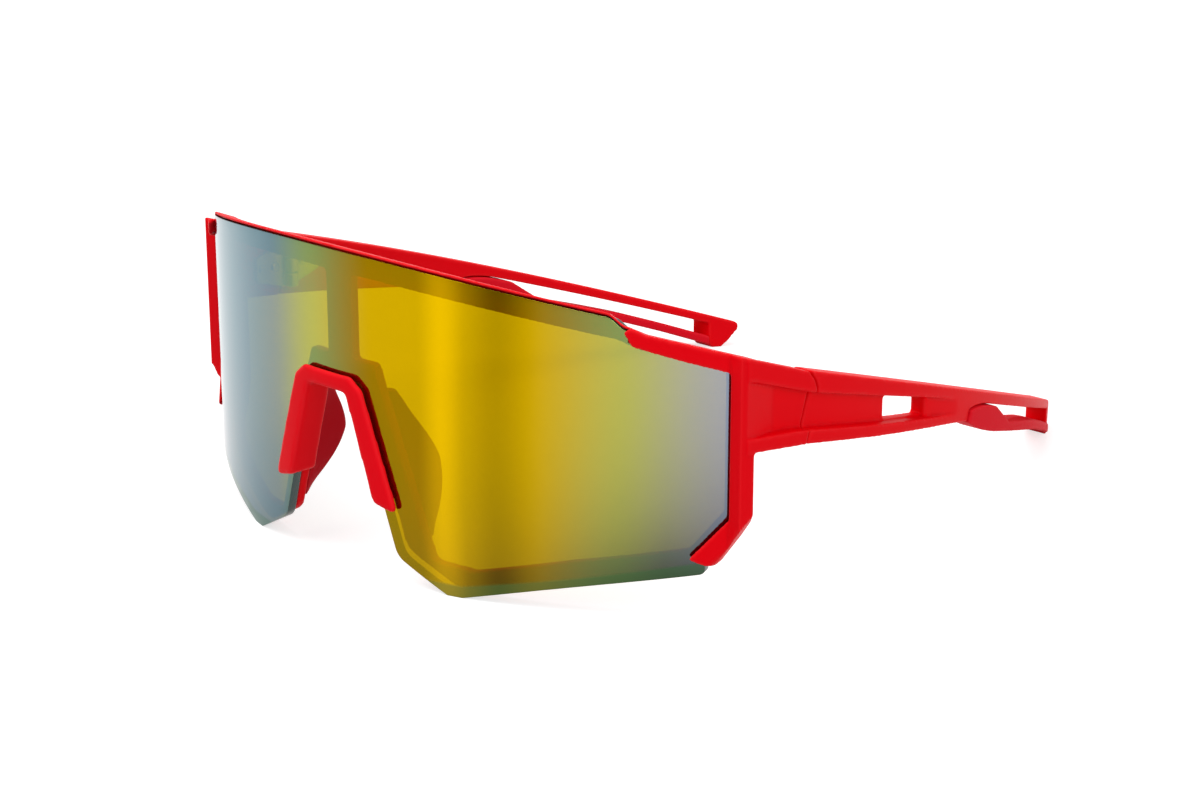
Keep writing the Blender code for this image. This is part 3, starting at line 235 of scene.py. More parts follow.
class LensSettings(bpy.types.PropertyGroup):
    radius: FloatProperty(
        name="Curve", description="Radius of the lens, seen from above", default=0.0914,
        unit="LENGTH",
    )
    thickness: FloatProperty(
        name="Thickness", description="Thickness of the lens", default=0.002, unit="LENGTH"
    )
    edge: FloatProperty(
        name="Edge", description="Radius of the polished edge", default=0.00016, unit="LENGTH"
    )
    see: FloatProperty(
        name="See-through", description="Multiplies the share of light let through", default=1.0
    )
    tint: FloatVectorProperty(
        name="Tint", description="Colour of the light that comes through",
        default=(0.94, 0.58, 0.0), subtype="COLOR",
    )


class FrameSettings(bpy.types.PropertyGroup):
    cell: FloatProperty(
        name="Cell", description="Size of the cells that the moulded skin is made of",
        default=0.00022, unit="LENGTH",
    )
    passes: IntProperty(
        name="Softness", description="How often the skin is smoothed, which rounds its edges",
        default=10,
    )
    clip_passes: IntProperty(
        name="Clip softness", description="How often the skin of the clip is smoothed", default=45
    )
    red: FloatVectorProperty(
        name="Frame red", description="Colour of frame and arms", default=(0.97, 0.0, 0.006),
        subtype="COLOR",
    )
    clip: FloatVectorProperty(
        name="Clip red", description="Colour of the nose clip", default=(0.97, 0.0, 0.008),
        subtype="COLOR",
    )


class RubberSettings(bpy.types.PropertyGroup):
    passes: IntProperty(
        name="Pad softness", description="How often the skin of a pad is smoothed", default=24
    )
    grip_passes: IntProperty(
        name="Grip softness", description="How often the skin of a grip is smoothed", default=7
    )
    grow: FloatProperty(
        name="Grip fullness", description="How far the skin of a grip stands out", default=0.00008,
        unit="LENGTH",
    )
    pad: FloatVectorProperty(
        name="Pad colour", description="Colour of the nose pads", default=(0.60, 0.0, 0.010),
        subtype="COLOR",
    )
    grip: FloatVectorProperty(
        name="Grip colour", description="Colour of the ear grips", default=(0.88, 0.004, 0.018),
        subtype="COLOR",
    )


class HingeSettings(bpy.types.PropertyGroup):
    cell: FloatProperty(
        name="Cell", description="Size of the cells of the leaf skins", default=0.00009,
        unit="LENGTH",
    )
    head_radius: FloatProperty(
        name="Rivet head", description="Radius of a rivet head", default=0.001, unit="LENGTH"
    )
    head_height: FloatProperty(
        name="Rivet height", description="Height of a domed rivet head", default=0.00045,
        unit="LENGTH",
    )
    steel: FloatVectorProperty(
        name="Steel", description="Colour of leaves, screws and rivets", default=(0.56, 0.56, 0.58),
        subtype="COLOR",
    )


class StageSettings(bpy.types.PropertyGroup):
    azimuth: FloatProperty(
        name="Azimuth", description="Turn of the camera round the object",
        default=math.radians(43.87), subtype="ANGLE",
    )
    elevation: FloatProperty(
        name="Elevation", description="Height angle of the camera",
        default=math.radians(17.5), subtype="ANGLE",
    )
    distance: FloatProperty(
        name="Distance", description="From the camera to the point it looks at", default=0.473,
        unit="LENGTH",
    )
    focal: FloatProperty(
        name="Focal length", description="Focal length in millimetres on a 36 mm sensor",
        default=80.73,
    )
    key: FloatProperty(
        name="Key light", description="Power of the large soft light above", default=7.0,
        unit="POWER",
    )
    fill: FloatProperty(
        name="Fill light", description="Power of the soft light at the camera's right", default=2.5,
        unit="POWER",
    )
    ambient: FloatProperty(
        name="Ambient", description="Light that the white room gives to everything", default=0.42
    )


# Nodes written as expressions


class Field:
    """A node socket that can be used in Python expressions."""

    def __init__(self, graph, socket):
        self.graph = graph
        self.socket = socket

    def math(self, operation, *values):
        settings = {"operation": operation}
        return self.graph.node("ShaderNodeMath", settings, dict(enumerate(values)))[0]

    def __add__(self, other):
        return self.math("ADD", self, other)

    __radd__ = __add__

    def __sub__(self, other):
        return self.math("SUBTRACT", self, other)

    def __rsub__(self, other):
        return self.math("SUBTRACT", other, self)

    def __mul__(self, other):
        return self.math("MULTIPLY", self, other)

    __rmul__ = __mul__

    def __truediv__(self, other):
        return self.math("DIVIDE", self, other)

    def __pow__(self, other):
        return self.math("POWER", self, other)

    def absolute(self):
        return self.math("ABSOLUTE", self)

    def at_least(self, low):
        return self.math("MAXIMUM", self, low)

    def limited(self):
        return self.math("MINIMUM", self.at_least(0.0), 1.0)


class Made:
    """A node that gives its outputs as fields."""

    def __init__(self, graph, item):
        self.graph = graph
        self.item = item

    def __getitem__(self, key):
        return Field(self.graph, self.item.outputs[key])


class Graph:
    """A node tree that nodes are added to with one call each."""

    def __init__(self, tree):
        self.tree = tree

    def node(self, kind, settings=None, values=None):
        item = self.tree.nodes.new(kind)
        for name, value in (settings or {}).items():
            setattr(item, name, value)
        self.fill(item, values or {})
        return Made(self, item)

    def fill(self, item, values):
        for key, value in values.items():
            if isinstance(value, Field):
                self.tree.links.new(value.socket, item.inputs[key])
            else:
                item.inputs[key].default_value = value

    def blend(self, share, first, second):
        values = {0: share}
        for key, colour in ((6, first), (7, second)):
            values[key] = colour if isinstance(colour, Field) else (*colour, 1.0)
        return self.node("ShaderNodeMix", {"data_type": "RGBA"}, values)[2]


def new_material(name):
    """An empty material with its Principled shader."""
    made = bpy.data.materials.new(name)
    made.use_nodes = True
    graph = Graph(made.node_tree)
    return made, graph, made.node_tree.nodes["Principled BSDF"]


def noise(graph, place, scale, detail=2.0):
    return graph.node(
        "ShaderNodeTexNoise", None, {"Vector": place, "Scale": scale, "Detail": detail}
    )["Fac"]


def object_place(graph):
    return graph.node("ShaderNodeTexCoord")["Object"]


def bumped(graph, strength, depth, height):
    return graph.node("ShaderNodeBump", None, {
        "Strength": strength, "Distance": depth, "Height": height,
    })["Normal"]


def scaled(colour, share):
    return tuple(c * share for c in colour)


def moulded(name, colour, roughness, grain, bump, gloss, edge_highlight):
    """Moulded plastic or rubber: a faint cloud and fine grain, with a painted highlight on edges
    and painted shade in hollows.
    """
    made, graph, shader = new_material(name)
    place = object_place(graph)
    edge = graph.node("ShaderNodeAttribute", {"attribute_name": "edge"})["Fac"]
    cloud = noise(graph, place, CLOUD_SCALE, FINE_DETAIL)
    fine = noise(graph, place, grain, FINE_DETAIL)
    mixed = (cloud * CLOUD_SHARE + fine * (1.0 - CLOUD_SHARE)).limited()
    # Painted highlight: convex edges are blended towards a pale colour; painted shade: hollows are
    # blended towards a darker one
    painted_highlight = tuple(c + (HIGHLIGHT_WHITE - c) * edge_highlight for c in colour)
    tone = graph.blend(mixed, scaled(colour, CLOUD_DARK), colour)
    tone = graph.blend((edge * HIGHLIGHT_GAIN).limited(), tone, painted_highlight)
    tone = graph.blend((edge * HOLLOW_SHADE_GAIN).limited(), tone, scaled(colour, HOLLOW_SHADE_DARK))
    graph.fill(shader, {
        "Base Color": tone,
        "Roughness": roughness + (fine - 0.5) * GRAIN_ROUGH,
        "Normal": bumped(graph, bump, GRAIN_DEPTH, fine + cloud * CLOUD_BUMP),
        "Specular IOR Level": gloss,
    })
    return made


def steel(name, colour):
    """Steel brushed along the upright axis, with a faint cloud."""
    made, graph, shader = new_material(name)
    place = object_place(graph)
    stretched = graph.node("ShaderNodeMapping", None, {
        "Vector": place, "Scale": (1.0, 1.0, BRUSH_STRETCH),
    })["Vector"]
    brushed = noise(graph, stretched, BRUSH_SCALE, BRUSH_DETAIL)
    cloud = noise(graph, place, STEEL_CLOUD_SCALE)
    least, more = BRUSH_ROUGH
    graph.fill(shader, {
        "Base Color": graph.blend(cloud, scaled(colour, STEEL_DARK), colour),
        "Roughness": least + brushed * more,
        "Normal": bumped(graph, BRUSH_BUMP, BRUSH_DEPTH, brushed),
        "Metallic": 1.0,
    })
    return made


def see_through(made, graph, shader, share, tint):
    """Lets a share of the light pass straight through a material, in a tint."""
    clear = graph.node("ShaderNodeBsdfTransparent", None, {"Color": (*tint, 1.0)})[0]
    both = graph.node("ShaderNodeMixShader", None, {
        0: share, 1: Field(graph, shader.outputs[0]), 2: clear,
    })[0]
    graph.fill(made.node_tree.nodes["Material Output"], {"Surface": both})


def eased(value, start, run):
    """From zero at start to one after a run, with a soft beginning and end."""
    share = ((value - start) / run).limited()
    return share * share * (3.0 - share * 2.0)


def bell(value, middle, half):
    """One at the middle, falling softly to zero at half on both sides."""
    return eased(half - (value - middle).absolute(), 0.0, half)


def mirror_colour(graph, across):
    """The colour of the mirror at a place across the lens: partly the coating's own, partly painted
    reflection and painted shade.
    """
    away = (across - FACING_X).absolute()
    tone = graph.blend(eased(away, GREEN_FROM, GREEN_RUN), GOLD, GREEN)
    side = graph.blend(eased(across, 0.0, FACING_X), TEAL, VIOLET)
    tone = graph.blend(eased(away, SIDE_FROM, SIDE_RUN), tone, side)
    # Painted reflection and shade: a bright streak, then a darker band where the key light's
    # reflection falls
    tone = graph.blend(bell(across, FACING_X, REFLECTED_STREAK_HALF), tone, REFLECTED_STREAK)
    return graph.blend(bell(across, SHADED_BAND_X, SHADED_BAND_HALF), tone, SHADED_BAND)


def mirror_see(across):
    """The share of light that the mirror lets through at a place across the lens."""
    away = (across - FACING_X).absolute()
    return SEE_MOST - eased(away, SEE_FROM, SEE_RUN) * (SEE_MOST - SEE_LEAST)


def mirror_lens(name, settings):
    """The mirrored face: gold in the middle, and blue and violet towards the sides, with a painted
    reflected streak and a band of painted shade.
    """
    made, graph, shader = new_material(name)
    place = object_place(graph)
    axes = graph.node("ShaderNodeSeparateXYZ", None, {0: place})
    across = axes["X"] + (noise(graph, place, SWIRL_SCALE) - 0.5) * SWIRL
    low = (1.0 - axes["Z"] / LENS_HEIGHT).limited() ** LOW_POWER
    near = ((axes["X"] - LOW_SIDE_X) / LOW_SIDE_RUN).limited()
    shade = (low * (LOW_SHADE + near * LOW_SIDE_SHADE)).limited()
    tone = graph.blend(shade, mirror_colour(graph, across), LOW_COLOUR)
    beyond = axes["X"].absolute() - FOOT_OUT_X
    rise = beyond.at_least(0.0) * (CORNER_Z / (CORNER_X - FOOT_OUT_X))
    rim = (RIM_END - (axes["Z"] - rise) / RIM_FADE).limited()
    haze = noise(graph, place, MIRROR_HAZE_SCALE, FINE_DETAIL)
    least, more = MIRROR_ROUGH
    graph.fill(shader, {
        "Base Color": graph.blend(rim * RIM_DARK, tone, RIM_COLOUR),
        "Roughness": least + haze * more,
        "Metallic": 1.0,
    })
    see = mirror_see(across) * settings.see * (1.0 - rim) * (1.0 - shade)
    see_through(made, graph, shader, see, settings.tint)
    return made


def smoke_lens(name, colour, see):
    """Tinted plastic: the inner face and the cut edge of the lens."""
    made, graph, shader = new_material(name)
    haze = noise(graph, object_place(graph), SMOKE_SCALE, FINE_DETAIL)
    least, more = SMOKE_ROUGH
    graph.fill(shader, {
        "Base Color": graph.blend(haze, scaled(colour, SMOKE_DARK), colour),
        "Roughness": least + haze * more,
    })
    see_through(made, graph, shader, see, SMOKE_TINT)
    return made


# Shapes


def spread(start, end, steps):
    return [start + (end - start) * k / steps for k in range(steps + 1)]


def rounded(corners):
    """Outline points from corners that hold (across, up, radius)."""
    points = []
    for index, (across, up, radius) in enumerate(corners):
        corner = Vector((across, up))
        if not radius:
            points.append((across, up))
            continue
        before = (Vector(corners[index - 1][:2]) - corner).normalized()
        after = (Vector(corners[(index + 1) % len(corners)][:2]) - corner).normalized()
        half = before.angle(after) / 2
        centre = corner + (before + after).normalized() * radius / math.sin(half)
        start = corner + before * radius / math.tan(half) - centre
        end = corner + after * radius / math.tan(half) - centre
        for step in range(ARC_STEPS + 1):
            spoke = start.lerp(end, step / ARC_STEPS).normalized() * radius
            points.append(tuple(centre + spoke))
    return points


def widened(outline, distance):
    """The outline moved outwards by distance, with mitred corners."""
    area = sum(a[0] * b[1] - b[0] * a[1] for a, b in zip(outline, outline[1:] + outline[:1]))
    turn = math.copysign(1.0, area)
    moved = []
    for index, point in enumerate(outline):
        here = Vector(point)
        first = (here - Vector(outline[index - 1])).normalized()
        second = (Vector(outline[(index + 1) % len(outline)]) - here).normalized()
        normal_a = Vector((first.y, -first.x)) * turn
        normal_b = Vector((second.y, -second.x)) * turn
        mitre = (normal_a + normal_b) / (1.0 + normal_a.dot(normal_b))
        moved.append(tuple(here + mitre * distance))
    return moved


def stepped(outline, step):
    """The outline with its long edges divided."""
    points = []
    for first, second in zip(outline, outline[1:] + outline[:1]):
        count = max(1, math.ceil((Vector(second) - Vector(first)).length / step))
        points += [tuple(Vector(first).lerp(Vector(second), k / count)) for k in range(count)]
    return points


def filled(ring, step):
    """Points and triangles that fill a closed ring, with an even grid inside it."""
    points = np.array(ring)
    ends = np.roll(points, -1, axis=0)
    low, high = points.min(0), points.max(0)
    across, up = np.meshgrid(np.arange(low[0], high[0], step), np.arange(low[1], high[1], step))
    grid = np.stack([across.ravel(), up.ravel()], 1)
    edge = ends - points
    away = grid[:, None] - points[None]
    share = np.clip((away * edge).sum(2) / (edge**2).sum(1), 0, 1)
    gap = np.linalg.norm(away - share[..., None] * edge, axis=2).min(1)
    grid = grid[gap > step * CAP_CLEAR_SHARE]
    count = len(points)
    every = [Vector(p) for p in np.concatenate([points, grid]) / MM]
    lines = [(k, (k + 1) % count) for k in range(count)]
    places, _, faces, *_ = delaunay_2d_cdt(every, lines, [], 1, CDT_LIMIT)
    return [tuple(p * MM) for p in places], faces


def brow_z(across):
    return LENS_HEIGHT - BROW_FALL * (across / BROW_HALF) ** 2


def notch_half(up):
    return NOTCH_TOP_HALF + (NOTCH_TOP_Z - up) * NOTCH_SLOPE


def lens_outline():
    """The lens seen from the front, from the middle of its top edge all round."""
    corners = [(x, brow_z(x), 0) for x in spread(0, BROW_HALF, BROW_STEPS)[:-1]]
    corners += [(x, top_z(x), 0) for x in spread(BROW_HALF, BROW_HALF + STEP_RUN, STEP_STEPS)]
    corners += [
        (BROW_HALF + STEP_RUN, SHOULDER_Z, 0),
        (LENS_HALF_WIDTH, SIDE_TOP_Z, 0),
        (LENS_HALF_WIDTH, SIDE_LOW_Z, 0),
        (CORNER_X, CORNER_Z + CORNER_RISE, 0),
        (CORNER_X, CORNER_Z, CORNER_ROUND),
    ]
    for share in spread(0, 1, ARC_STEPS)[1:-1]:
        up = CORNER_Z * (1 - share) + FOOT_ARCH * math.sin(math.pi * share)
        corners.append((CORNER_X + (FOOT_OUT_X - CORNER_X) * share, up, 0))
    corners += [
        (FOOT_OUT_X, 0, 0),
        (FOOT_IN_X, 0, 0),
        (notch_half(NOSE_FOOT_Z), NOSE_FOOT_Z, NOSE_FOOT_ROUND),
        (notch_half(NOTCH_TOP_Z), NOTCH_TOP_Z, NOTCH_ROUND),
        (0, NOTCH_TOP_Z, 0),
    ]
    half = rounded(corners)
    return stepped(half + [(-x, z) for x, z in reversed(half) if x > 0], OUTLINE_STEP)


def top_z(across):
    """Height of the top edge of the lens, with the step at its outer end."""
    share = (abs(across) - BROW_HALF) / STEP_RUN
    if share <= 0:
        return brow_z(across)
    return brow_z(BROW_HALF) - STEP_FALL * (1 - math.cos(math.pi * min(share, 1.0))) / 2


def sloped(point, depth, radius):
    """A point of the flat lens at a depth: its top edge falls and its side edges lean inwards."""
    across, up = point
    if abs(across) <= BROW_HALF + STEP_RUN:
        near = max(0.0, 1.0 - (top_z(across) - up) / BROW_SLANT_DEPTH)
        up -= depth * BROW_SLANT * min(near, 1.0)
    turn = (abs(across) - SIDE_TURN_X) / (LENS_HALF_WIDTH - SIDE_TURN_X)
    return (across * (1 - depth / radius * max(0.0, turn)), depth, up)


def flat_lens(settings):
    """The lens before it is bent: two caps and a rounded edge, with a zone number on each face."""
    outline = lens_outline()
    edge, thick = settings.edge, settings.thickness
    profile = []
    for turn in spread(0, math.pi / 2, EDGE_STEPS):
        profile.append((edge * (1 - math.sin(turn)), edge * (1 - math.cos(turn))))
    profile += [(inset, thick - depth) for inset, depth in reversed(profile)]
    places, faces, zones = [], [], []
    for inset, depth in profile:
        ring = widened(outline, -inset)
        places += [sloped(point, depth, settings.radius) for point in ring]
    count = len(outline)
    for row in range(len(profile) - 1):
        for k in range(count):
            after = (k + 1) % count
            low, high = row * count, (row + 1) * count
            faces.append((low + k, low + after, high + after, high + k))
            zones.append(ZONE_MIRROR if row < EDGE_STEPS - 1 else ZONE_EDGE)
    for zone, (inset, depth) in ((ZONE_MIRROR, profile[0]), (ZONE_INNER, profile[-1])):
        inner, triangles = filled(widened(outline, -inset), CAP_STEP)
        start = len(places)
        places += [sloped(point, depth, settings.radius) for point in inner]
        faces += [tuple(start + k for k in triangle) for triangle in triangles]
        zones += [zone] * len(triangles)
    shape = bmesh.new()
    layer = shape.faces.layers.int.new("zone")
    corners = [shape.verts.new(place) for place in places]
    for face, zone in zip(faces, zones):
        shape.faces.new([corners[k] for k in face])[layer] = zone
    bmesh.ops.remove_doubles(shape, verts=shape.verts, dist=MERGE)
    bmesh.ops.delete(shape, geom=[v for v in shape.verts if not v.link_faces], context="VERTS")
    bmesh.ops.recalc_face_normals(shape, faces=shape.faces)
    return new_piece("flat_lens", shape)


def new_piece(name, shape):
    """A linked object made from a bmesh, which is freed."""
    data = bpy.data.meshes.new(name)
    shape.to_mesh(data)
    shape.free()
    data.shade_smooth()
    made = bpy.data.objects.new(name, data)
    bpy.context.scene.collection.objects.link(made)
    return made


def new_tree(name, inputs):
    """A geometry node tree with named inputs, and the identifier of each."""
    tree = bpy.data.node_groups.new(name, "GeometryNodeTree")
    tree.interface.new_socket("Geometry", in_out="INPUT", socket_type="NodeSocketGeometry")
    names = {}
    for label, kind in inputs.items():
        names[label] = tree.interface.new_socket(label, in_out="INPUT", socket_type=kind).identifier
    tree.interface.new_socket("Geometry", in_out="OUTPUT", socket_type="NodeSocketGeometry")
    return Graph(tree), names


def applied(made, name, graph, names, values):
    """Runs a tree on an object and returns the result as a new plain object."""
    modifier = made.modifiers.new(name, "NODES")
    modifier.node_group = graph.tree
    for label, value in values.items():
        modifier[names[label]] = value
    result = evaluated(made)
    made.modifiers.clear()
    bpy.data.objects.remove(made, do_unlink=True)
    piece = bpy.data.objects.new(name, result)
    result.name = name
    bpy.context.scene.collection.objects.link(piece)
    return piece


def evaluated(made):
    graph = bpy.context.evaluated_depsgraph_get()
    return bpy.data.meshes.new_from_object(made.evaluated_get(graph))


def bent_lens(settings, materials):
    """Bends the flat lens round its upright axis and gives each zone its finish."""
    graph, names = new_tree("bend_lens", {
        "Radius": "NodeSocketFloat", "Front": "NodeSocketFloat", "Mirror": "NodeSocketMaterial",
        "Edge": "NodeSocketMaterial", "Inner": "NodeSocketMaterial",
    })
    source = graph.node("NodeGroupInput")
    place = graph.node("GeometryNodeInputPosition")[0]
    axes = graph.node("ShaderNodeSeparateXYZ", None, {0: place})
    inner = source["Radius"] - axes["Y"]
    depth = (inner**2.0 - axes["X"] ** 2.0) ** 0.5
    bent = graph.node("ShaderNodeCombineXYZ", None, {
        "X": axes["X"], "Y": source["Front"] + source["Radius"] - depth, "Z": axes["Z"],
    })[0]
    moved = graph.node("GeometryNodeSetPosition", None, {
        "Geometry": source["Geometry"], "Position": bent,
    })[0]
    done = graph.node("GeometryNodeRealizeInstances", None, {"Geometry": moved})[0]
    zone = graph.node(
        "GeometryNodeInputNamedAttribute", {"data_type": "INT"}, {"Name": "zone"}
    )["Attribute"]
    for number, label in ((ZONE_MIRROR, "Mirror"), (ZONE_EDGE, "Edge"), (ZONE_INNER, "Inner")):
        chosen = graph.node("FunctionNodeCompare", {"data_type": "INT", "operation": "EQUAL"}, {
            2: zone, 3: number,
        })[0]
        done = graph.node("GeometryNodeSetMaterial", None, {
            "Geometry": done, "Selection": chosen, "Material": source[label],
        })[0]
    graph.node("NodeGroupOutput", None, {"Geometry": done})
    return applied(flat_lens(settings), "lens_shell", graph, names, {
        "Radius": settings.radius, "Front": FRONT_Y, "Mirror": materials[0],
        "Edge": materials[1], "Inner": materials[2],
    })


def of_points(mesh, label):
    values = np.empty(len(mesh.vertices) * 3)
    mesh.vertices.foreach_get(label, values)
    return values.reshape(-1, 3)


def neighbours(mesh):
    """The two ends of every edge, both ways round."""
    ends = np.empty(len(mesh.edges) * 2, np.int32)
    mesh.edges.foreach_get("vertices", ends)
    ends = ends.reshape(-1, 2)
    return np.concatenate([ends[:, 0], ends[:, 1]]), np.concatenate([ends[:, 1], ends[:, 0]])


def smoothed(places, links, passes):
    """Moves each point towards its neighbours and part of the way back, which keeps the size."""
    first, second = links
    count = np.maximum(np.bincount(first, minlength=len(places)), 1)
    for step in range(passes):
        for share in SMOOTH_SHARES:
            mean = np.stack([
                np.bincount(first, places[second, axis], len(places)) / count for axis in range(3)
            ], 1)
            places = places + (mean - places) * share
    return places


def softened(node, name, material, cell, passes, keep=1.0, grow=0.0):
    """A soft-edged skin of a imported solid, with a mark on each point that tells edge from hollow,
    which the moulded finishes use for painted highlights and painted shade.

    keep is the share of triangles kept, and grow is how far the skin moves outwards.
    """
    shape = bmesh.new()
    shape.from_mesh(frame["nodes"][node].data)
    bmesh.ops.remove_doubles(shape, verts=shape.verts, dist=MERGE)
    made = new_piece(name, shape)
    skin = made.modifiers.new("skin", "REMESH")
    skin.mode = "VOXEL"
    skin.voxel_size = cell
    made.data = evaluated(made)
    made.modifiers.clear()
    mesh = made.data
    before = of_points(mesh, "co")
    after = smoothed(before, neighbours(mesh), passes)
    mesh.vertices.foreach_set("co", after.ravel())
    mesh.update()
    normals = of_points(mesh, "normal")
    mesh.vertices.foreach_set("co", (after + normals * grow).ravel())
    mark = ((before - after) * normals).sum(1) / cell
    wide = smoothed(mark[:, None].repeat(3, 1), neighbours(mesh), MARK_PASSES)[:, 0]
    layer = mesh.attributes.new("edge", "FLOAT", "POINT")
    layer.data.foreach_set("value", wide.astype(np.float32))
    if keep < 1.0:
        thin = made.modifiers.new("thin", "DECIMATE")
        thin.ratio = keep
        made.data = evaluated(made)
        made.modifiers.clear()
    made.data.name = name
    made.data.shade_smooth()
    made.data.materials.clear()
    made.data.materials.append(material)
    return made


def rivet_heads(body, nodes, material, settings):
    """Domed rivet heads over the rivets of one body."""
    shape = bmesh.new()
    for node in nodes:
        low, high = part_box(node)
        inner = min(abs(low.x), abs(high.x)) + settings.head_height
        middle = (low + high) / 2
        shape.verts.new((math.copysign(inner, middle.x), middle.y, middle.z))
    graph, names = new_tree("rivet_heads", {
        "Head radius": "NodeSocketFloat", "Head height": "NodeSocketFloat",
        "Steel": "NodeSocketMaterial",
    })
    source = graph.node("NodeGroupInput")
    dome = graph.node("GeometryNodeMeshUVSphere", None, {
        "Segments": HEAD_SEGMENTS, "Rings": HEAD_RINGS, "Radius": source["Head radius"],
    })["Mesh"]
    flat = source["Head height"] / source["Head radius"]
    squeeze = graph.node("ShaderNodeCombineXYZ", None, {"X": flat, "Y": 1.0, "Z": 1.0})[0]
    shaped = graph.node("GeometryNodeTransform", None, {"Geometry": dome, "Scale": squeeze})[0]
    smooth = graph.node("GeometryNodeSetShadeSmooth", None, {"Geometry": shaped})[0]
    points = graph.node("GeometryNodeMeshToPoints", None, {"Mesh": source["Geometry"]})[0]
    placed = graph.node("GeometryNodeInstanceOnPoints", None, {
        "Points": points, "Instance": smooth,
    })[0]
    done = graph.node("GeometryNodeRealizeInstances", None, {"Geometry": placed})[0]
    done = graph.node("GeometryNodeSetMaterial", None, {
        "Geometry": done, "Material": source["Steel"],
    })[0]
    graph.node("NodeGroupOutput", None, {"Geometry": done})
    piece = applied(new_piece("rivet_spots", shape), f"rivet_heads_{body}", graph, names, {
        "Head radius": settings.head_radius, "Head height": settings.head_height, "Steel": material,
    })
    dressed(piece, body, "hinge_steel", *nodes)


def dressed(piece, body, slot, *nodes):
    """Lets a piece ride on its body in place of the named solids."""
    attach(piece, body)
    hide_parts(*nodes)


def body_of(node):
    return frame["nodes"][node]["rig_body"]


# Operators


class SUNGLASSES_OT_lens(bpy.types.Operator):
    """Build the mirrored shield lens"""

    bl_idname = "sunglasses.lens"
    bl_label = "Build lens"

    def execute(self, context):
        settings = context.scene.sunglasses_lens
        finishes = (
            mirror_lens("lens_mirror", settings),
            smoke_lens("lens_edge", *CUT_EDGE),
            smoke_lens("lens_inner", *INNER_FACE),
        )
        piece = bent_lens(settings, finishes)
        dressed(piece, body_of("shield_lens"), "lens_gold", "shield_lens")
        return {"FINISHED"}


class SUNGLASSES_OT_front(bpy.types.Operator):
    """Build the front frame with its brackets and lugs"""

    bl_idname = "sunglasses.front"
    bl_label = "Build front frame"

    def execute(self, context):
        settings = context.scene.sunglasses_frame
        red = moulded("frame_skin", settings.red, **FRAME_FINISH)
        piece = softened(
            "front_frame", "frame_shell", red, settings.cell, settings.passes, keep=FRAME_KEEP
        )
        dressed(piece, body_of("front_frame"), "frame_red", "front_frame")
        return {"FINISHED"}


class SUNGLASSES_OT_nose(bpy.types.Operator):
    """Build the nose clip and its two soft pads"""

    bl_idname = "sunglasses.nose"
    bl_label = "Build nose clip and pads"

    def execute(self, context):
        settings = context.scene.sunglasses_frame
        rubber = context.scene.sunglasses_rubber
        red = moulded("clip_skin", settings.clip, **CLIP_FINISH)
        piece = softened("nose_clip", "clip_shell", red, settings.cell, settings.clip_passes)
        dressed(piece, body_of("nose_clip"), "clip_red", "nose_clip")
        soft = moulded("pad_skin", rubber.pad, **PAD_FINISH)
        for word in SIDES:
            node = f"nose_pad_{word}"
            piece = softened(node, f"pad_shell_{word}", soft, settings.cell, rubber.passes)
            dressed(piece, body_of(node), "pad_rubber", node)
        return {"FINISHED"}


class SUNGLASSES_OT_arms(bpy.types.Operator):
    """Build the two temples and their ear grips"""

    bl_idname = "sunglasses.arms"
    bl_label = "Build arms"

    def execute(self, context):
        settings = context.scene.sunglasses_frame
        rubber = context.scene.sunglasses_rubber
        red = moulded("temple_skin", settings.red, **ARM_FINISH)
        soft = moulded("grip_skin", rubber.grip, **GRIP_FINISH)
        for word in SIDES:
            node = f"temple_{word}"
            piece = softened(node, f"arm_shell_{word}", red, settings.cell, settings.passes)
            dressed(piece, body_of(node), "frame_red", node)
            node = f"ear_grip_{word}"
            piece = softened(
                node, f"grip_shell_{word}", soft, settings.cell, rubber.grip_passes,
                grow=rubber.grow,
            )
            dressed(piece, body_of(node), "grip_rubber", node)
        return {"FINISHED"}


class SUNGLASSES_OT_hinges(bpy.types.Operator):
    """Build the hinge leaves, screws and rivets"""

    bl_idname = "sunglasses.hinges"
    bl_label = "Build hinges"

    def execute(self, context):
        settings = context.scene.sunglasses_hinge
        metal = steel("hinge_skin", settings.steel)
        rivets = {}
        for node in sorted(frame["nodes"]):
            if node.startswith("rivet_"):
                rivets.setdefault(body_of(node), []).append(node)
            elif node.startswith("hinge_"):
                piece = softened(node, f"{node}_skin", metal, settings.cell, HINGE_PASSES)
                dressed(piece, body_of(node), "hinge_steel", node)
        for body, nodes in sorted(rivets.items()):
            rivet_heads(body, nodes, metal, settings)
        return {"FINISHED"}


class SUNGLASSES_OT_stage(bpy.types.Operator):
    """Set up the floor, the white room, the lights and the camera"""

    bl_idname = "sunglasses.stage"
    bl_label = "Set the stage"

    def execute(self, context):
        settings = context.scene.sunglasses_stage
        context.scene.view_settings.view_transform = "Standard"
        add_floor()
        add_room(context.scene, settings)
        turn, rise = settings.azimuth, settings.elevation
        back = Vector((
            math.sin(turn) * math.cos(rise), -math.cos(turn) * math.cos(rise), math.sin(rise),
        ))
        camera = bpy.data.objects.new("camera", bpy.data.cameras.new("camera"))
        camera.data.lens = settings.focal
        camera.data.clip_start = CLIP_START
        camera.location = TARGET + back * settings.distance
        camera.rotation_euler = (-back).to_track_quat("-Z", "Y").to_euler()
        context.scene.collection.objects.link(camera)
        context.scene.camera = camera
        soft_light("key_light", KEY_PLACE, KEY_SIZE, settings.key)
        soft_light("fill_light", FILL_PLACE, FILL_SIZE, settings.fill)
        return {"FINISHED"}


def soft_light(name, place, size, power):
    """A square light that faces the point the camera looks at."""
    light = bpy.data.lights.new(name, "AREA")
    light.shape = "SQUARE"
    light.size = size
    light.energy = power
    made = bpy.data.objects.new(name, light)
    made.location = place
    made.rotation_euler = (TARGET - Vector(place)).to_track_quat("-Z", "Y").to_euler()
    bpy.context.scene.collection.objects.link(made)


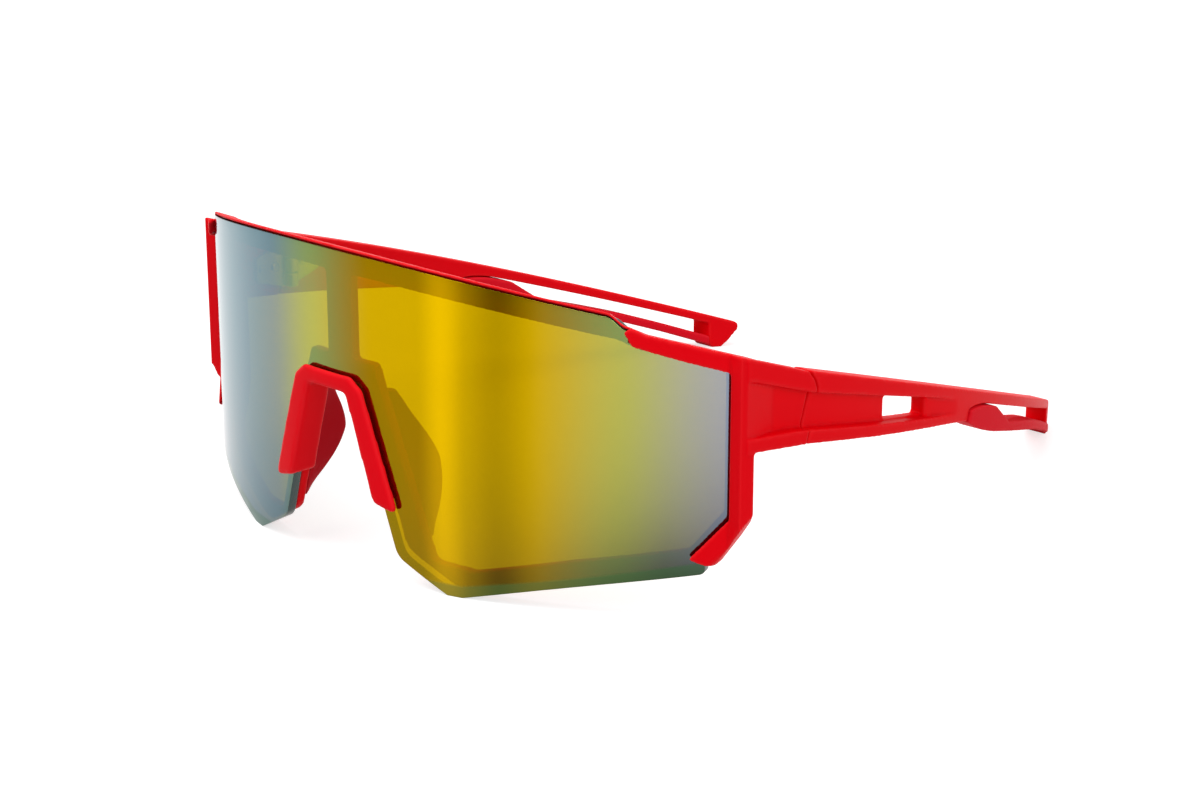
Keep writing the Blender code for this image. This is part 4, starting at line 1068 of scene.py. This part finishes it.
def seen_white(graph):
    """One for rays from the camera, or by way of metal or glass."""
    path = graph.node("ShaderNodeLightPath")
    direct = path["Is Camera Ray"] + path["Is Glossy Ray"]
    return (direct + path["Is Transmission Ray"]).limited()


def add_floor():
    """A pale floor that stays white and still keeps the object's shadow."""
    shape = bmesh.new()
    bmesh.ops.create_grid(shape, x_segments=1, y_segments=1, size=FLOOR_HALF)
    floor = new_piece("floor", shape)
    made, graph, shader = new_material("floor_white")
    paper = noise(graph, object_place(graph), FLOOR_SCALE)
    dark, light = ((grey,) * 3 for grey in FLOOR_GREY)
    graph.fill(shader, {
        "Base Color": graph.blend(paper, dark, light),
        "Roughness": FLOOR_ROUGH,
        "Specular IOR Level": 0.0,
    })
    glow = graph.node("ShaderNodeEmission", None, {
        "Color": WHITE, "Strength": seen_white(graph) * FLOOR_GLOW,
    })[0]
    both = graph.node("ShaderNodeAddShader", None, {
        0: Field(graph, shader.outputs[0]), 1: glow,
    })[0]
    graph.fill(made.node_tree.nodes["Material Output"], {"Surface": both})
    floor.data.materials.append(made)


def add_room(scene, settings):
    """A white world that looks full white but lights the object less."""
    world = bpy.data.worlds.new("white_room")
    world.use_nodes = True
    scene.world = world
    graph = Graph(world.node_tree)
    seen = seen_white(graph)
    graph.fill(world.node_tree.nodes["Background"], {
        "Color": WHITE,
        "Strength": settings.ambient + seen * (1.0 - settings.ambient),
    })


OPERATORS = (
    SUNGLASSES_OT_lens, SUNGLASSES_OT_front, SUNGLASSES_OT_nose, SUNGLASSES_OT_arms,
    SUNGLASSES_OT_hinges, SUNGLASSES_OT_stage,
)
SETTINGS = {
    "sunglasses_lens": LensSettings,
    "sunglasses_frame": FrameSettings,
    "sunglasses_rubber": RubberSettings,
    "sunglasses_hinge": HingeSettings,
    "sunglasses_stage": StageSettings,
}


class SUNGLASSES_PT_panel(bpy.types.Panel):
    """Lists the steps and the settings of the sunglasses"""

    bl_idname = "SUNGLASSES_PT_panel"
    bl_label = "Sunglasses"
    bl_space_type = "VIEW_3D"
    bl_region_type = "UI"
    bl_category = "Sunglasses"

    def draw(self, context):
        for operator in OPERATORS:
            self.layout.operator(operator.bl_idname)
        for name, group in SETTINGS.items():
            box = self.layout.box()
            for label in group.__annotations__:
                box.prop(getattr(context.scene, name), label)


def register():
    for group in SETTINGS.values():
        bpy.utils.register_class(group)
    for name, group in SETTINGS.items():
        setattr(bpy.types.Scene, name, PointerProperty(type=group))
    for item in (*OPERATORS, SUNGLASSES_PT_panel):
        bpy.utils.register_class(item)


def unregister():
    for item in (SUNGLASSES_PT_panel, *reversed(OPERATORS)):
        bpy.utils.unregister_class(item)
    for name in SETTINGS:
        delattr(bpy.types.Scene, name)
    for group in SETTINGS.values():
        bpy.utils.unregister_class(group)


def main():
    register()
    bpy.ops.sunglasses.lens()
    bpy.ops.sunglasses.front()
    bpy.ops.sunglasses.nose()
    bpy.ops.sunglasses.arms()
    bpy.ops.sunglasses.hinges()
    bpy.ops.sunglasses.stage()


if __name__ == "__main__":
    main()
